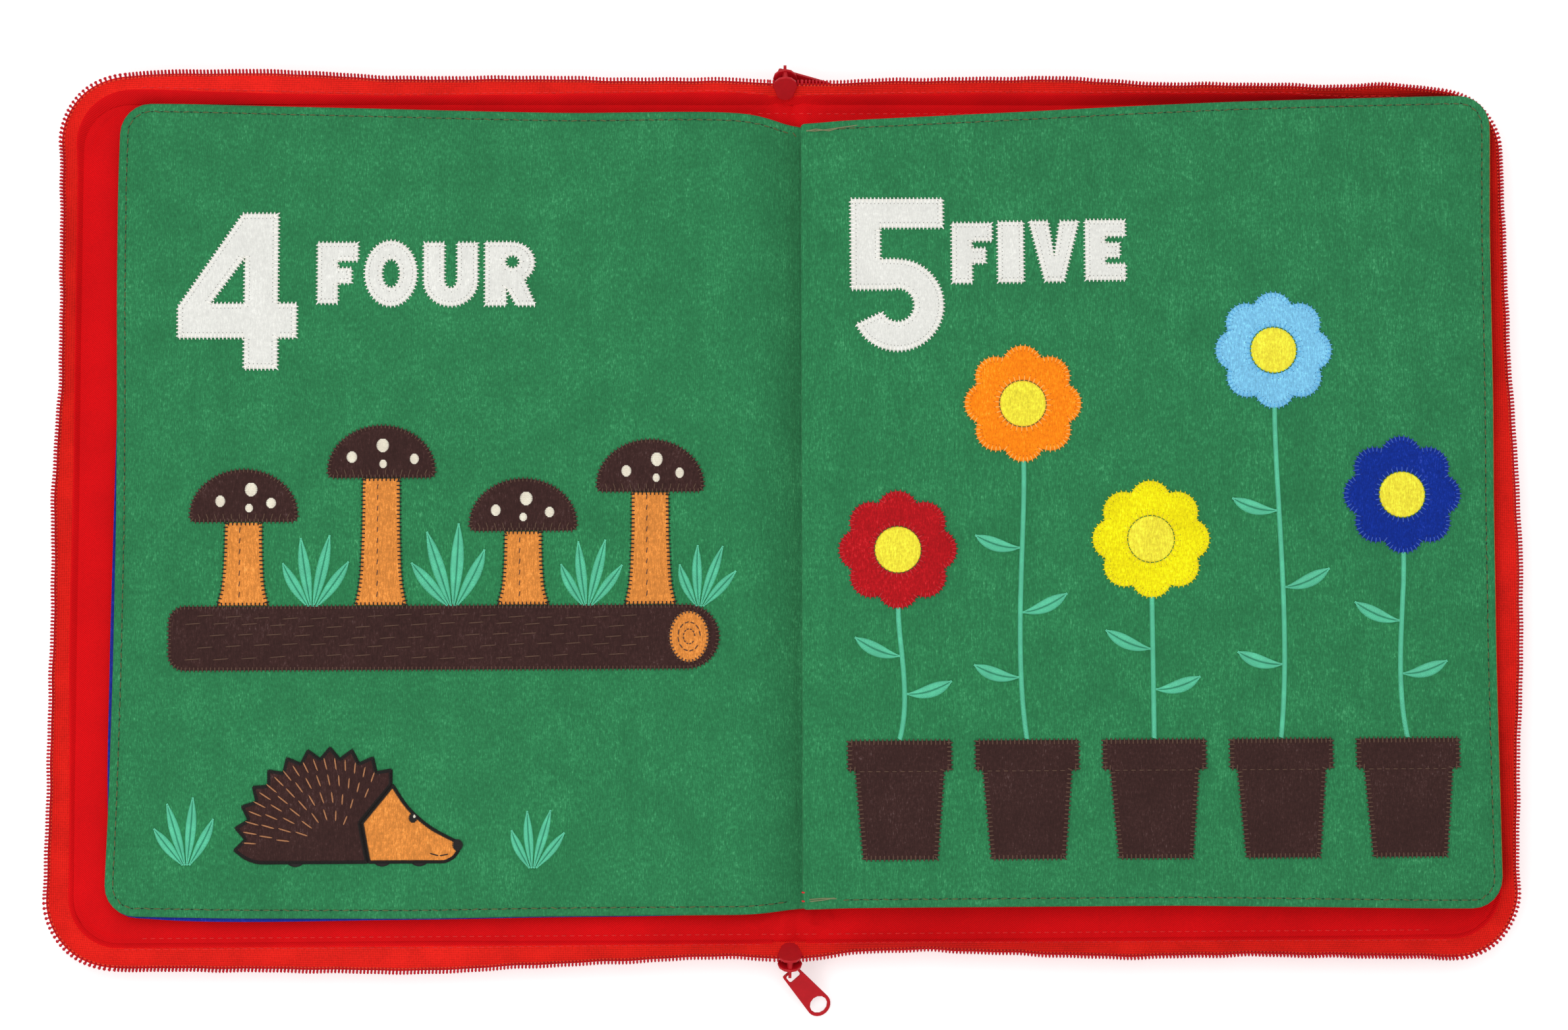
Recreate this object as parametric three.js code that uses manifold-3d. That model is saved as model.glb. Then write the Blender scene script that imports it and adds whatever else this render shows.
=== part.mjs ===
// A soft counting book: felt leaves sewn into a zip round case of padded cloth covers.
// It lies open at pages four and five. Millimetres, +X to the right, +Y to the head, +Z up.
// The origin is on the underside of the spine, in its middle.
import * as THREE from 'three';
import { mergeVertices } from 'three/addons/utils/BufferGeometryUtils.js';
import Module from 'manifold-3d';

const wasm = await Module();
wasm.setup();

// Case
const foreMargin = 1.9;
const headMargin = 5.3;
const rimRadius = 20.8;
const wallLean = THREE.MathUtils.degToRad(35);
const clothThickness = 0.9;
const rimThickness = 1;
const paddingThickness = 2.9;
const liningThickness = 1;
const layerGap = 0.2;
const seatGap = 0.3;
const spineHalfWidth = 12;
const clothCornerRadius = 1.5;

// Leaves
const leafWidth = 283.6;
const leafHeight = 331;
const leafMiddleY = 4;
const leafCornerRadius = 12.5;
const sheetThickness = 1.1;
const sheetGap = 0.2;
const appliqueThickness = 0.85;
const appliqueGap = 0.15;
const facingGap = 0.3;
const gutterX = 7.3;
const leafBelowAxisCount = 2;

// Binding strip
const bindingThickness = 1.2;
const bindingFootWidth = 9;
const bindingFootThickness = 0.8;
const bindingEndInset = 14;

// Zip
const tapeThickness = 0.6;
const tapeRoot = 0.5;
const coilWidth = 2.8;
const coilThickness = 2.2;
const coilFlatShare = 0.55;
const toothPitch = 1.45;
const toothDepth = 1.1;
const coilMeetingGap = 0.2;
const tailHalfLength = 6.7;
const tailRoot = 3.8;

// Slider
const plateGap = 3.4;
const plateThickness = 1.2;
const plateBevel = 0.25;
const mouthRadius = 5;
const heelRadius = 3.8;
const heelToMouth = 3.7;
const sliderRear = 3.2;
const postHalfWidth = 1.2;
const postLength = 2.7;
const postClearance = 0.4;
const lipDepth = 1;
const lipWidth = 0.9;
const lipLength = 3;
const lipReach = 3.5;
const lugThickness = 1.2;
const lugInnerRadius = 1.5;
const lugOuterRadius = 2.5;
const lugHeight = 2.9;
const lugAlong = 11.6;

// Pull
const pullThickness = 1;
const pullBevel = 0.2;
const pullNearWidth = 7.4;
const pullFarRadius = 5.1;
const pullFarCentre = 20;
const pullEyeWidth = 5.4;
const pullEyeStart = 0.5;
const pullEyeEnd = 4;
const pullEyeCorner = 0.8;
const pullNearCorner = 0.9;
const pullHoleRadius = 3.75;
const pullFootSwing = THREE.MathUtils.degToRad(49.3);
const pullFootSlope = THREE.MathUtils.degToRad(25);
const pullHeadTuck = THREE.MathUtils.degToRad(10);
const pullHeadSlope = THREE.MathUtils.degToRad(16);

// Worked out heights and places
const shellFloorTop = clothThickness;
const paddingBase = shellFloorTop + layerGap;
const liningBase = paddingBase + paddingThickness + layerGap;
const liningTop = liningBase + liningThickness;
const rimTop = liningTop + seatGap;
const leafThickness = 2 * sheetThickness + sheetGap;
const leafPitch = leafThickness + 2 * (appliqueThickness + appliqueGap) + facingGap;
const axisHeight = liningTop + seatGap + leafThickness / 2 + leafBelowAxisCount * leafPitch;
const leanOut = Math.sin(wallLean);
const leanUp = Math.cos(wallLean);
const coilTop = (axisHeight - coilMeetingGap - rimTop - (coilThickness / 2) * leanOut) / leanUp;
const coilBase = coilTop - coilWidth;
const tapeTop = coilBase - seatGap;
const leafLow = leafMiddleY - leafHeight / 2;
const leafHigh = leafMiddleY + leafHeight / 2;
const rimHalfWidth = gutterX + leafWidth + foreMargin;
const rimHalfHeight = leafHigh + headMargin;
const coverInnerX = spineHalfWidth + seatGap;
const zipStartX = tailHalfLength + seatGap;

const colours = {
  twill: 0xcc1014,
  foam: 0xe9e4da,
  tape: 0xe02418,
  coil: 0xd8261c,
  slider: 0xb01428,
  green: 0x2f8250,
  blue: 0x1c2a8a,
  orange: 0xff8c10,
  yellow: 0xf4e600,
  red: 0xb01018,
  lightBlue: 0x7cc4ec,
  white: 0xe8e8e4,
  brown: 0x3a2524,
  tan: 0xc77c3c,
};

const faceCornerCount = 3;
const axisCount = 3;
const circleSteps = 12;
const cornerSteps = 3;
const rimCornerSteps = 8;
const book = new THREE.Group();

// Helpers
function cloth(colour) {
  return new THREE.MeshStandardMaterial({ color: colour, roughness: 0.95, metalness: 0 });
}

function paintedMetal(colour) {
  return new THREE.MeshStandardMaterial({ color: colour, roughness: 0.35, metalness: 0.4 });
}

function place(name, geometry, material, parent = book) {
  const mesh = new THREE.Mesh(geometry, material);
  mesh.name = name;
  parent.add(mesh);
  return mesh;
}

function solid(geometry) {
  const bare = geometry.clone();
  bare.deleteAttribute('normal');
  bare.deleteAttribute('uv');
  const merged = mergeVertices(bare, 1e-4);
  return new wasm.Manifold(new wasm.Mesh({
    numProp: 3,
    vertProperties: Float32Array.from(merged.attributes.position.array),
    triVerts: Uint32Array.from(merged.index.array),
  }));
}

function surface(manifold) {
  const mesh = manifold.getMesh();
  const geometry = new THREE.BufferGeometry();
  geometry.setAttribute('position', new THREE.BufferAttribute(mesh.vertProperties, 3));
  geometry.setIndex(new THREE.BufferAttribute(mesh.triVerts, 1));
  geometry.computeVertexNormals();
  return geometry;
}

function joined(geometries) {
  return surface(geometries.map(solid).reduce((sum, next) => sum.add(next)));
}

function cut(geometry, tool) {
  return surface(solid(geometry).subtract(solid(tool)));
}

function roundedShape(left, low, right, high, radii) {
  const [lowRight, highRight, highLeft, lowLeft] = radii;
  const shape = new THREE.Shape();
  shape.moveTo(left + lowLeft, low);
  shape.absarc(right - lowRight, low + lowRight, lowRight, -Math.PI / 2, 0);
  shape.absarc(right - highRight, high - highRight, highRight, 0, Math.PI / 2);
  shape.absarc(left + highLeft, high - highLeft, highLeft, Math.PI / 2, Math.PI);
  shape.absarc(left + lowLeft, low + lowLeft, lowLeft, Math.PI, Math.PI * 1.5);
  return shape;
}

function slab(shape, base, thickness, steps = cornerSteps) {
  const geometry = new THREE.ExtrudeGeometry(shape, {
    depth: thickness,
    bevelEnabled: false,
    curveSegments: steps,
  });
  return geometry.translate(0, 0, base);
}

function bevelled(shape, base, thickness, bevel) {
  const geometry = new THREE.ExtrudeGeometry(shape, {
    depth: thickness - 2 * bevel,
    bevelThickness: bevel,
    bevelSize: bevel,
    bevelOffset: -bevel,
    bevelSegments: 1,
    curveSegments: cornerSteps,
  });
  return geometry.translate(0, 0, base + bevel);
}

function discShape(x, y, radius) {
  const shape = new THREE.Shape();
  shape.absarc(x, y, radius, 0, Math.PI * 2);
  return shape;
}

function mirrored(geometry) {
  const copy = geometry.clone().scale(-1, 1, 1);
  const corners = copy.index ? copy.index.array : Uint32Array.from(
    { length: copy.attributes.position.count }, (_, corner) => corner);
  const turned = Uint32Array.from(corners);
  for (let corner = 0; corner < turned.length; corner += faceCornerCount) {
    turned[corner + 1] = corners[corner + 2];
    turned[corner + 2] = corners[corner + 1];
  }
  copy.setIndex(new THREE.BufferAttribute(turned, 1));
  return copy;
}

// The zip wall stands on the rim and leans outward. A wall point has a height up the
// wall and a depth, which is positive on the outside.
function wallPoint(height, depth) {
  return [
    height * leanOut + depth * leanUp,
    rimTop + height * leanUp - depth * leanOut,
  ];
}

// Path round the rim of one cover: head edge, fore edge and foot edge.
function rimPath() {
  const midX = rimHalfWidth - rimThickness / 2;
  const midY = rimHalfHeight - rimThickness / 2;
  const radius = rimRadius - rimThickness / 2;
  const path = [{ x: zipStartX, y: midY, angle: Math.PI / 2 }];
  for (const side of [1, -1]) {
    for (let step = 0; step <= rimCornerSteps; step += 1) {
      const share = step / rimCornerSteps;
      const angle = side > 0 ? (Math.PI / 2) * (1 - share) : -(Math.PI / 2) * share;
      path.push({
        x: midX - radius + radius * Math.cos(angle),
        y: side * (midY - radius) + radius * Math.sin(angle),
        angle,
      });
    }
  }
  path.push({ x: zipStartX, y: -midY, angle: -Math.PI / 2 });
  return path;
}

// Sweep of a wall section along a path, closed at both ends.
function sweep(path, section) {
  const outline = section.map(
    ([height, depth]) => new THREE.Vector2(...wallPoint(height, depth)));
  if (THREE.ShapeUtils.isClockWise(outline)) {
    outline.reverse();
  }
  const count = outline.length;
  const positions = [];
  for (const { x, y, angle } of path) {
    for (const point of outline) {
      positions.push(x + point.x * Math.cos(angle), y + point.x * Math.sin(angle), point.y);
    }
  }
  const faces = [];
  for (let ring = 0; ring + 1 < path.length; ring += 1) {
    for (let side = 0; side < count; side += 1) {
      const next = (side + 1) % count;
      const a = ring * count + side;
      const b = ring * count + next;
      faces.push(a, b, b + count, a, b + count, a + count);
    }
  }
  const caps = THREE.ShapeUtils.triangulateShape(outline, []);
  const last = (path.length - 1) * count;
  for (const [a, b, c] of caps) {
    faces.push(a, c, b, last + a, last + b, last + c);
  }
  const geometry = new THREE.BufferGeometry();
  geometry.setAttribute('position', new THREE.Float32BufferAttribute(positions, 3));
  geometry.setIndex(faces);
  return facingOut(geometry);
}

function facingOut(geometry) {
  const points = geometry.attributes.position;
  const index = geometry.index.array;
  const corner = [new THREE.Vector3(), new THREE.Vector3(), new THREE.Vector3()];
  let volume = 0;
  for (let face = 0; face < index.length; face += faceCornerCount) {
    corner.forEach((point, number) => point.fromBufferAttribute(points, index[face + number]));
    volume += corner[0].dot(corner[1].cross(corner[2]));
  }
  if (volume < 0) {
    for (let face = 0; face < index.length; face += faceCornerCount) {
      [index[face], index[face + 1]] = [index[face + 1], index[face]];
    }
  }
  return geometry;
}

// Covers: an outer cloth tray, a foam pad and a lining over it.
function coverShape(inset) {
  const radius = rimRadius - inset;
  return roundedShape(
    coverInnerX, inset - rimHalfHeight, rimHalfWidth - inset, rimHalfHeight - inset,
    [radius, radius, clothCornerRadius, clothCornerRadius]);
}

function coverShell() {
  const outside = slab(coverShape(0), 0, rimTop);
  const inside = roundedShape(
    0, rimThickness - rimHalfHeight, rimHalfWidth - rimThickness, rimHalfHeight - rimThickness,
    [rimRadius - rimThickness, rimRadius - rimThickness, clothCornerRadius, clothCornerRadius]);
  return cut(outside, slab(inside, shellFloorTop, rimTop));
}

function covers() {
  const inset = rimThickness + layerGap;
  const shell = coverShell();
  const padding = slab(coverShape(inset), paddingBase, paddingThickness);
  const lining = slab(coverShape(inset), liningBase, liningThickness);
  place('back_shell', shell, cloth(colours.twill));
  place('back_padding', padding, cloth(colours.foam));
  place('back_lining', lining, cloth(colours.twill));
  place('front_shell', mirrored(shell), cloth(colours.twill));
  place('front_padding', mirrored(padding), cloth(colours.foam));
  place('front_lining', mirrored(lining), cloth(colours.twill));
}

// Spine: two layers of cloth, the strip that the leaves are sewn to, and its foot.
function spineShape(inset) {
  return roundedShape(
    -spineHalfWidth, inset - rimHalfHeight, spineHalfWidth, rimHalfHeight - inset,
    Array(4).fill(clothCornerRadius));
}

function stripPiece(width, base, top) {
  const length = leafHeight - 2 * bindingEndInset;
  const piece = new THREE.BoxGeometry(width, length, top - base);
  return piece.translate(gutterX, leafMiddleY, (base + top) / 2);
}

function spine() {
  const liningFloor = clothThickness + layerGap;
  const footBase = liningFloor + clothThickness + seatGap;
  const footTop = footBase + bindingFootThickness;
  const stripTop = axisHeight - leafThickness / 2 - seatGap;
  place('spine_panel', slab(spineShape(0), 0, clothThickness), cloth(colours.twill));
  place('spine_lining', slab(spineShape(rimThickness), liningFloor, clothThickness),
    cloth(colours.twill));
  place('binding_foot', stripPiece(bindingFootWidth, footBase, footTop), cloth(colours.twill));
  place('binding_strip', stripPiece(bindingThickness, footTop + seatGap, stripTop),
    cloth(colours.twill));
}

// Sweep of a symmetric section with a row of teeth along its free edge. The profile is
// a list of [height, half depth] from the root to the shoulder under the teeth.
function toothedSweep(path, profile) {
  const positions = [];
  const faces = [];
  const addPoint = ({ x, y, angle }, height, depth) => {
    const [out, up] = wallPoint(height, depth);
    positions.push(x + out * Math.cos(angle), y + out * Math.sin(angle), up);
    return positions.length / axisCount - 1;
  };
  const rings = path.map((station) => [
    ...profile.map(([height, depth]) => addPoint(station, height, depth)),
    addPoint(station, coilTop - toothDepth, 0),
    ...profile.map(([height, depth]) => addPoint(station, height, -depth)).reverse(),
  ]);
  const crest = profile.length;
  for (let step = 0; step + 1 < path.length; step += 1) {
    const [near, far] = [rings[step], rings[step + 1]];
    const ridge = toothRidge(path[step], path[step + 1], near[crest], far[crest], addPoint);
    const middle = Math.floor(ridge.length / 2);
    for (let side = 0; side < near.length; side += 1) {
      const next = (side + 1) % near.length;
      if (side !== crest && next !== crest) {
        faces.push(near[side], near[next], far[next], near[side], far[next], far[side]);
      }
    }
    for (let tooth = 0; tooth + 1 < ridge.length; tooth += 1) {
      const ring = tooth < middle ? near : far;
      faces.push(ring[crest - 1], ridge[tooth], ridge[tooth + 1]);
      faces.push(ring[crest + 1], ridge[tooth + 1], ridge[tooth]);
    }
    faces.push(near[crest - 1], ridge[middle], far[crest - 1]);
    faces.push(near[crest + 1], far[crest + 1], ridge[middle]);
  }
  const outline = [
    ...profile.map(([height, depth]) => wallPoint(height, depth)),
    wallPoint(coilTop - toothDepth, 0),
    ...profile.map(([height, depth]) => wallPoint(height, -depth)).reverse(),
  ].map(([out, up]) => new THREE.Vector2(out, up));
  const [first, last] = [rings[0], rings[rings.length - 1]];
  for (const [a, b, c] of THREE.ShapeUtils.triangulateShape(outline, [])) {
    faces.push(first[a], first[c], first[b], last[a], last[b], last[c]);
  }
  const geometry = new THREE.BufferGeometry();
  geometry.setAttribute('position', new THREE.Float32BufferAttribute(positions, axisCount));
  geometry.setIndex(faces);
  return facingOut(geometry);
}

// Points of the teeth between two stations: low, high, low, and so on.
function toothRidge(from, to, start, finish, addPoint) {
  const turn = Math.abs(to.angle - from.angle);
  const run = Math.hypot(to.x - from.x, to.y - from.y) + turn * coilTop * leanOut;
  const count = Math.max(1, Math.round(run / toothPitch));
  const ridge = [start];
  for (let half = 1; half < 2 * count; half += 1) {
    const share = half / (2 * count);
    const station = {
      x: THREE.MathUtils.lerp(from.x, to.x, share),
      y: THREE.MathUtils.lerp(from.y, to.y, share),
      angle: THREE.MathUtils.lerp(from.angle, to.angle, share),
    };
    ridge.push(addPoint(station, half % 2 ? coilTop : coilTop - toothDepth, 0));
  }
  ridge.push(finish);
  return ridge;
}

// Zip: tape and coil round each cover, and a tail across each end of the spine.
function coilProfile() {
  const half = coilThickness / 2;
  return [
    [coilBase, half * coilFlatShare],
    [coilBase + half * (1 - coilFlatShare), half],
    [coilTop - toothDepth, half],
  ];
}

function zip() {
  const half = tapeThickness / 2;
  const tapeSection = [[tapeRoot, -half], [tapeTop, -half], [tapeTop, half], [tapeRoot, half]];
  const tailProfile = [[-tailRoot, half], [coilBase, half], ...coilProfile()];
  const tape = sweep(rimPath(), tapeSection);
  const coil = toothedSweep(rimPath(), coilProfile());
  place('back_tape', tape, cloth(colours.tape));
  place('front_tape', mirrored(tape), cloth(colours.tape));
  place('back_coil', coil, cloth(colours.coil));
  place('front_coil', mirrored(coil), cloth(colours.coil));
  for (const [name, side] of [['head', 1], ['foot', -1]]) {
    const y = side * (rimHalfHeight - rimThickness / 2);
    const angle = side * (Math.PI / 2);
    const path = [{ x: -tailHalfLength, y, angle }, { x: tailHalfLength, y, angle }];
    place(`zip_tail_${name}`, toothedSweep(path, tailProfile), cloth(colours.tape));
  }
}

// Slider: two plates that straddle the coil, a post in the mouth, lips that hold the
// tape, and a lug for the pull. Its x runs along the edge, y up the wall, z outward.
function plateShape() {
  const heelY = sliderRear + heelRadius;
  const shape = new THREE.Shape();
  shape.moveTo(mouthRadius, heelY + heelToMouth);
  shape.absarc(0, heelY + heelToMouth, mouthRadius, 0, Math.PI);
  shape.absarc(0, heelY, heelRadius, Math.PI, Math.PI * 2);
  return shape;
}

function sliderPost() {
  const base = coilTop + postClearance;
  const shape = new THREE.Shape();
  shape.moveTo(0, base);
  shape.lineTo(postHalfWidth, base + postLength / 2);
  shape.lineTo(postHalfWidth / 2, base + postLength);
  shape.lineTo(-postHalfWidth / 2, base + postLength);
  shape.lineTo(-postHalfWidth, base + postLength / 2);
  return slab(shape, -(plateGap + plateThickness) / 2, plateGap + plateThickness);
}

function sliderLug(plateTop) {
  const pivot = plateTop + lugHeight;
  const foot = plateTop - plateThickness / 2;
  const shape = new THREE.Shape();
  shape.moveTo(lugOuterRadius, foot);
  shape.absarc(0, pivot, lugOuterRadius, 0, Math.PI);
  shape.lineTo(-lugOuterRadius, foot);
  shape.lineTo(-lugInnerRadius, foot);
  shape.absarc(0, pivot, lugInnerRadius, Math.PI, 0, true);
  shape.lineTo(lugInnerRadius, foot);
  const lug = slab(shape, -lugThickness / 2, lugThickness, circleSteps / 2);
  lug.rotateX(Math.PI / 2);
  lug.rotateZ(Math.PI / 2);
  return lug.translate(0, lugAlong, 0);
}

function sliderBody() {
  const plateTop = plateGap / 2 + plateThickness;
  const pieces = [
    bevelled(plateShape(), plateGap / 2, plateThickness, plateBevel),
    bevelled(plateShape(), -plateTop, plateThickness, plateBevel),
    sliderPost(),
    sliderLug(plateTop),
  ];
  const lipTop = tapeTop - layerGap;
  for (const side of [1, -1]) {
    const inner = side > 0 ? lipReach - lipWidth : -lipReach;
    const shape = roundedShape(
      inner, lipTop - lipLength, inner + lipWidth, lipTop, Array(4).fill(lipWidth / 4));
    pieces.push(slab(shape, plateGap / 2 - lipDepth, lipDepth + plateThickness / 2, 2));
    pieces.push(slab(shape, -plateGap / 2 - plateThickness / 2, lipDepth + plateThickness / 2, 2));
  }
  return joined(pieces);
}

function pullShape() {
  const half = pullNearWidth / 2;
  const shape = new THREE.Shape();
  shape.moveTo(pullNearCorner - half, -pullEyeStart);
  shape.absarc(half - pullNearCorner, pullNearCorner - pullEyeStart, pullNearCorner,
    -Math.PI / 2, 0);
  shape.absarc(0, pullFarCentre, pullFarRadius, 0, Math.PI);
  shape.absarc(pullNearCorner - half, pullNearCorner - pullEyeStart, pullNearCorner,
    Math.PI, Math.PI * 1.5);
  const eyeHalf = pullEyeWidth / 2;
  shape.holes.push(roundedShape(
    -eyeHalf, pullEyeStart, eyeHalf, pullEyeEnd, Array(4).fill(pullEyeCorner)));
  shape.holes.push(discShape(0, pullFarCentre, pullHoleRadius));
  return shape;
}

function pullBody() {
  const geometry = new THREE.ExtrudeGeometry(pullShape(), {
    depth: pullThickness - 2 * pullBevel,
    bevelThickness: pullBevel,
    bevelSize: pullBevel,
    bevelOffset: -pullBevel,
    bevelSegments: 1,
    curveSegments: circleSteps / 2,
  });
  return geometry.translate(0, 0, pullBevel - pullThickness / 2);
}

function sliders() {
  const pivotDepth = plateGap / 2 + plateThickness + lugHeight;
  const baseY = rimHalfHeight - rimThickness / 2;
  for (const [name, turn] of [['foot', 0], ['head', Math.PI]]) {
    const end = new THREE.Group();
    end.rotation.z = turn;
    const wall = new THREE.Group();
    wall.position.set(0, -baseY, rimTop);
    wall.rotation.x = Math.PI / 2 + wallLean;
    end.add(wall);
    book.add(end);
    place(`slider_${name}`, sliderBody(), paintedMetal(colours.slider), wall);
  }
  const [out, up] = wallPoint(lugAlong, pivotDepth);
  pullAtFoot(new THREE.Vector3(0, -baseY - out, up));
  pullAtHead(new THREE.Vector3(0, baseY + out, up));
}

// The foot pull hangs on its end bar and slopes down to the table.
function pullAtFoot(pivot) {
  const along = new THREE.Vector3(
    Math.cos(pullFootSwing) * Math.cos(pullFootSlope),
    -Math.sin(pullFootSwing) * Math.cos(pullFootSlope),
    -Math.sin(pullFootSlope));
  const across = new THREE.Vector3(Math.sin(pullFootSwing), Math.cos(pullFootSwing), 0);
  const pull = place('pull_foot', pullBody(), paintedMetal(colours.slider));
  pull.setRotationFromMatrix(new THREE.Matrix4().makeBasis(
    across, along, across.clone().cross(along)));
  pull.position.copy(pivot);
}

// The head pull hangs on a side bar, tucked in under the wall and sloping down along it.
function pullAtHead(pivot) {
  const wallUp = new THREE.Vector3(0, leanOut, leanUp);
  const wallOut = new THREE.Vector3(0, leanUp, -leanOut);
  const level = new THREE.Vector3(Math.cos(pullHeadTuck), 0, 0)
    .addScaledVector(wallOut, -Math.sin(pullHeadTuck));
  const along = level.clone().multiplyScalar(Math.cos(pullHeadSlope))
    .addScaledVector(wallUp, -Math.sin(pullHeadSlope));
  const across = level.clone().multiplyScalar(-Math.sin(pullHeadSlope))
    .addScaledVector(wallUp, -Math.cos(pullHeadSlope));
  const sideBar = -(pullNearWidth + pullEyeWidth) / 4;
  const eyeMiddle = (pullEyeStart + pullEyeEnd) / 2;
  const pull = place('pull_head', pullBody(), paintedMetal(colours.slider));
  pull.setRotationFromMatrix(new THREE.Matrix4().makeBasis(
    across, along, across.clone().cross(along)));
  pull.position.copy(pivot)
    .addScaledVector(across, -sideBar)
    .addScaledVector(along, -eyeMiddle);
}

// Leaves: two felt sheets each. The number counts the leaf steps above the axis.
const leaves = [
  { side: -1, step: -2, under: ['page_1', 'red'], over: ['page_2', 'yellow'] },
  { side: -1, step: -1, under: ['page_3', 'blue'], over: ['page_4', 'green'] },
  { side: 1, step: 0, under: ['page_6', 'orange'], over: ['page_5', 'green'] },
  { side: 1, step: -1, under: ['page_8', 'lightBlue'], over: ['page_7', 'red'] },
  { side: 1, step: -2, under: ['page_10', 'yellow'], over: ['page_9', 'blue'] },
];

function sheetShape(side, rootGap) {
  const near = gutterX + side * rootGap;
  const far = gutterX + side * leafWidth;
  return roundedShape(
    Math.min(near, far), leafLow, Math.max(near, far), leafHigh,
    side > 0 ? [leafCornerRadius, leafCornerRadius, clothCornerRadius, clothCornerRadius]
      : [clothCornerRadius, clothCornerRadius, leafCornerRadius, leafCornerRadius]);
}

function leafSheets() {
  for (const { side, step, under, over } of leaves) {
    const middle = axisHeight + step * leafPitch;
    const rootGap = step === 0 ? seatGap : bindingThickness / 2 + seatGap;
    const shape = sheetShape(side, rootGap);
    const base = middle - leafThickness / 2;
    place(under[0], slab(shape, base, sheetThickness), cloth(colours[under[1]]));
    place(over[0], slab(shape, base + sheetThickness + sheetGap, sheetThickness),
      cloth(colours[over[1]]));
  }
}

// Felt shapes on page four and page five lie just over their sheet.
const leftEdge = gutterX - leafWidth;
const leftTop = axisHeight - leafPitch + leafThickness / 2 + appliqueGap;
const rightTop = axisHeight + leafThickness / 2 + appliqueGap;

const fourInset = 26.3;
const fourDrop = 44;
const fourWidth = 48.5;
const fourHeight = 64.4;
const fourOuterShares = [
  [0.56, 0], [0.84, 0], [0.84, 0.2], [1, 0.2], [1, 0.42], [0.84, 0.42], [0.84, 1],
  [0.54, 1], [0, 0.4], [0, 0.2], [0.56, 0.2],
];
const fourHoleShares = [[0.27, 0.42], [0.56, 0.42], [0.56, 0.72]];

function shareShape(shares, left, low, width, height) {
  return new THREE.Shape(shares.map(
    ([across, up]) => new THREE.Vector2(left + across * width, low + up * height)));
}

function numeralFour() {
  const fourLeft = leftEdge + fourInset;
  const fourLow = leafHigh - fourDrop - fourHeight;
  const shape = shareShape(fourOuterShares, fourLeft, fourLow, fourWidth, fourHeight);
  shape.holes.push(shareShape(fourHoleShares, fourLeft, fourLow, fourWidth, fourHeight));
  place('numeral_four', slab(shape, leftTop, appliqueThickness), cloth(colours.white));
}

const fiveInset = 19.4;
const fiveDrop = 38.8;
const fiveWidth = 38;
const fiveHeight = 63.2;
const fiveStroke = 12;

function numeralFive() {
  const fiveLeft = gutterX + fiveInset;
  const fiveLow = leafHigh - fiveDrop - fiveHeight;
  const bowlOuter = fiveWidth / 2;
  const bowlInner = bowlOuter - fiveStroke;
  const bowlX = fiveLeft + bowlOuter;
  const bowlY = fiveLow + bowlOuter;
  const top = fiveLow + fiveHeight;
  const start = Math.PI * 0.62;
  const finish = -Math.PI * 0.86;
  const shape = new THREE.Shape();
  shape.moveTo(fiveLeft + fiveWidth, top);
  shape.lineTo(fiveLeft, top);
  shape.lineTo(fiveLeft, bowlY + bowlInner * Math.sin(start));
  shape.absarc(bowlX, bowlY, bowlInner, start, finish, true);
  shape.absarc(bowlX, bowlY, bowlOuter, finish, Math.PI * 0.5);
  shape.lineTo(fiveLeft + fiveStroke, bowlY + bowlOuter);
  shape.lineTo(fiveLeft + fiveStroke, top - fiveStroke);
  shape.lineTo(fiveLeft + fiveWidth, top - fiveStroke);
  place('numeral_five', slab(shape, rightTop, appliqueThickness, circleSteps / 2),
    cloth(colours.white));
}

// Page four: four mushrooms on a log, and a hedgehog below it.
const logInset = 24;
const logLength = 224;
const logRise = 99;
const logHeight = 26;
const mushroomOffsets = [30, 86, 144, 196];
const stemHeights = [34, 52, 30, 46];
const stemWidth = 15;
const stemFlare = 3;
const capRadius = 22;
const capHeightShare = 0.86;
const capLip = 5;

const logLeft = leftEdge + logInset;
const logLow = leafLow + logRise;

function logShape() {
  const radius = logHeight / 2;
  return roundedShape(
    logLeft, logLow, logLeft + logLength, logLow + logHeight,
    [radius, radius, radius / 2, radius / 2]);
}

function stemShape(x, low, high) {
  const half = stemWidth / 2;
  const shape = new THREE.Shape();
  shape.moveTo(x - half - stemFlare, low);
  shape.lineTo(x + half + stemFlare, low);
  shape.quadraticCurveTo(x + half, low + stemFlare * 2, x + half, high);
  shape.lineTo(x - half, high);
  shape.quadraticCurveTo(x - half, low + stemFlare * 2, x - half - stemFlare, low);
  return shape;
}

function capShape(x, low) {
  const shape = new THREE.Shape();
  shape.moveTo(x - capRadius + capLip / 2, low);
  shape.lineTo(x + capRadius - capLip / 2, low);
  shape.absarc(x + capRadius - capLip / 2, low + capLip / 2, capLip / 2, -Math.PI / 2, 0);
  shape.absellipse(
    x, low + capLip / 2, capRadius, capRadius * capHeightShare, 0, Math.PI);
  shape.absarc(x - capRadius + capLip / 2, low + capLip / 2, capLip / 2,
    Math.PI, Math.PI * 1.5);
  return shape;
}

function mushrooms() {
  place('log', slab(logShape(), leftTop, appliqueThickness), cloth(colours.brown));
  mushroomOffsets.forEach((offset, index) => {
    const x = logLeft + offset;
    const low = logLow + logHeight + seatGap;
    const high = low + stemHeights[index];
    place(`mushroom_stem_${index + 1}`,
      slab(stemShape(x, low, high), leftTop, appliqueThickness), cloth(colours.tan));
    place(`mushroom_cap_${index + 1}`,
      slab(capShape(x, high + seatGap), leftTop, appliqueThickness, circleSteps / 2),
      cloth(colours.brown));
  });
}

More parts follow.
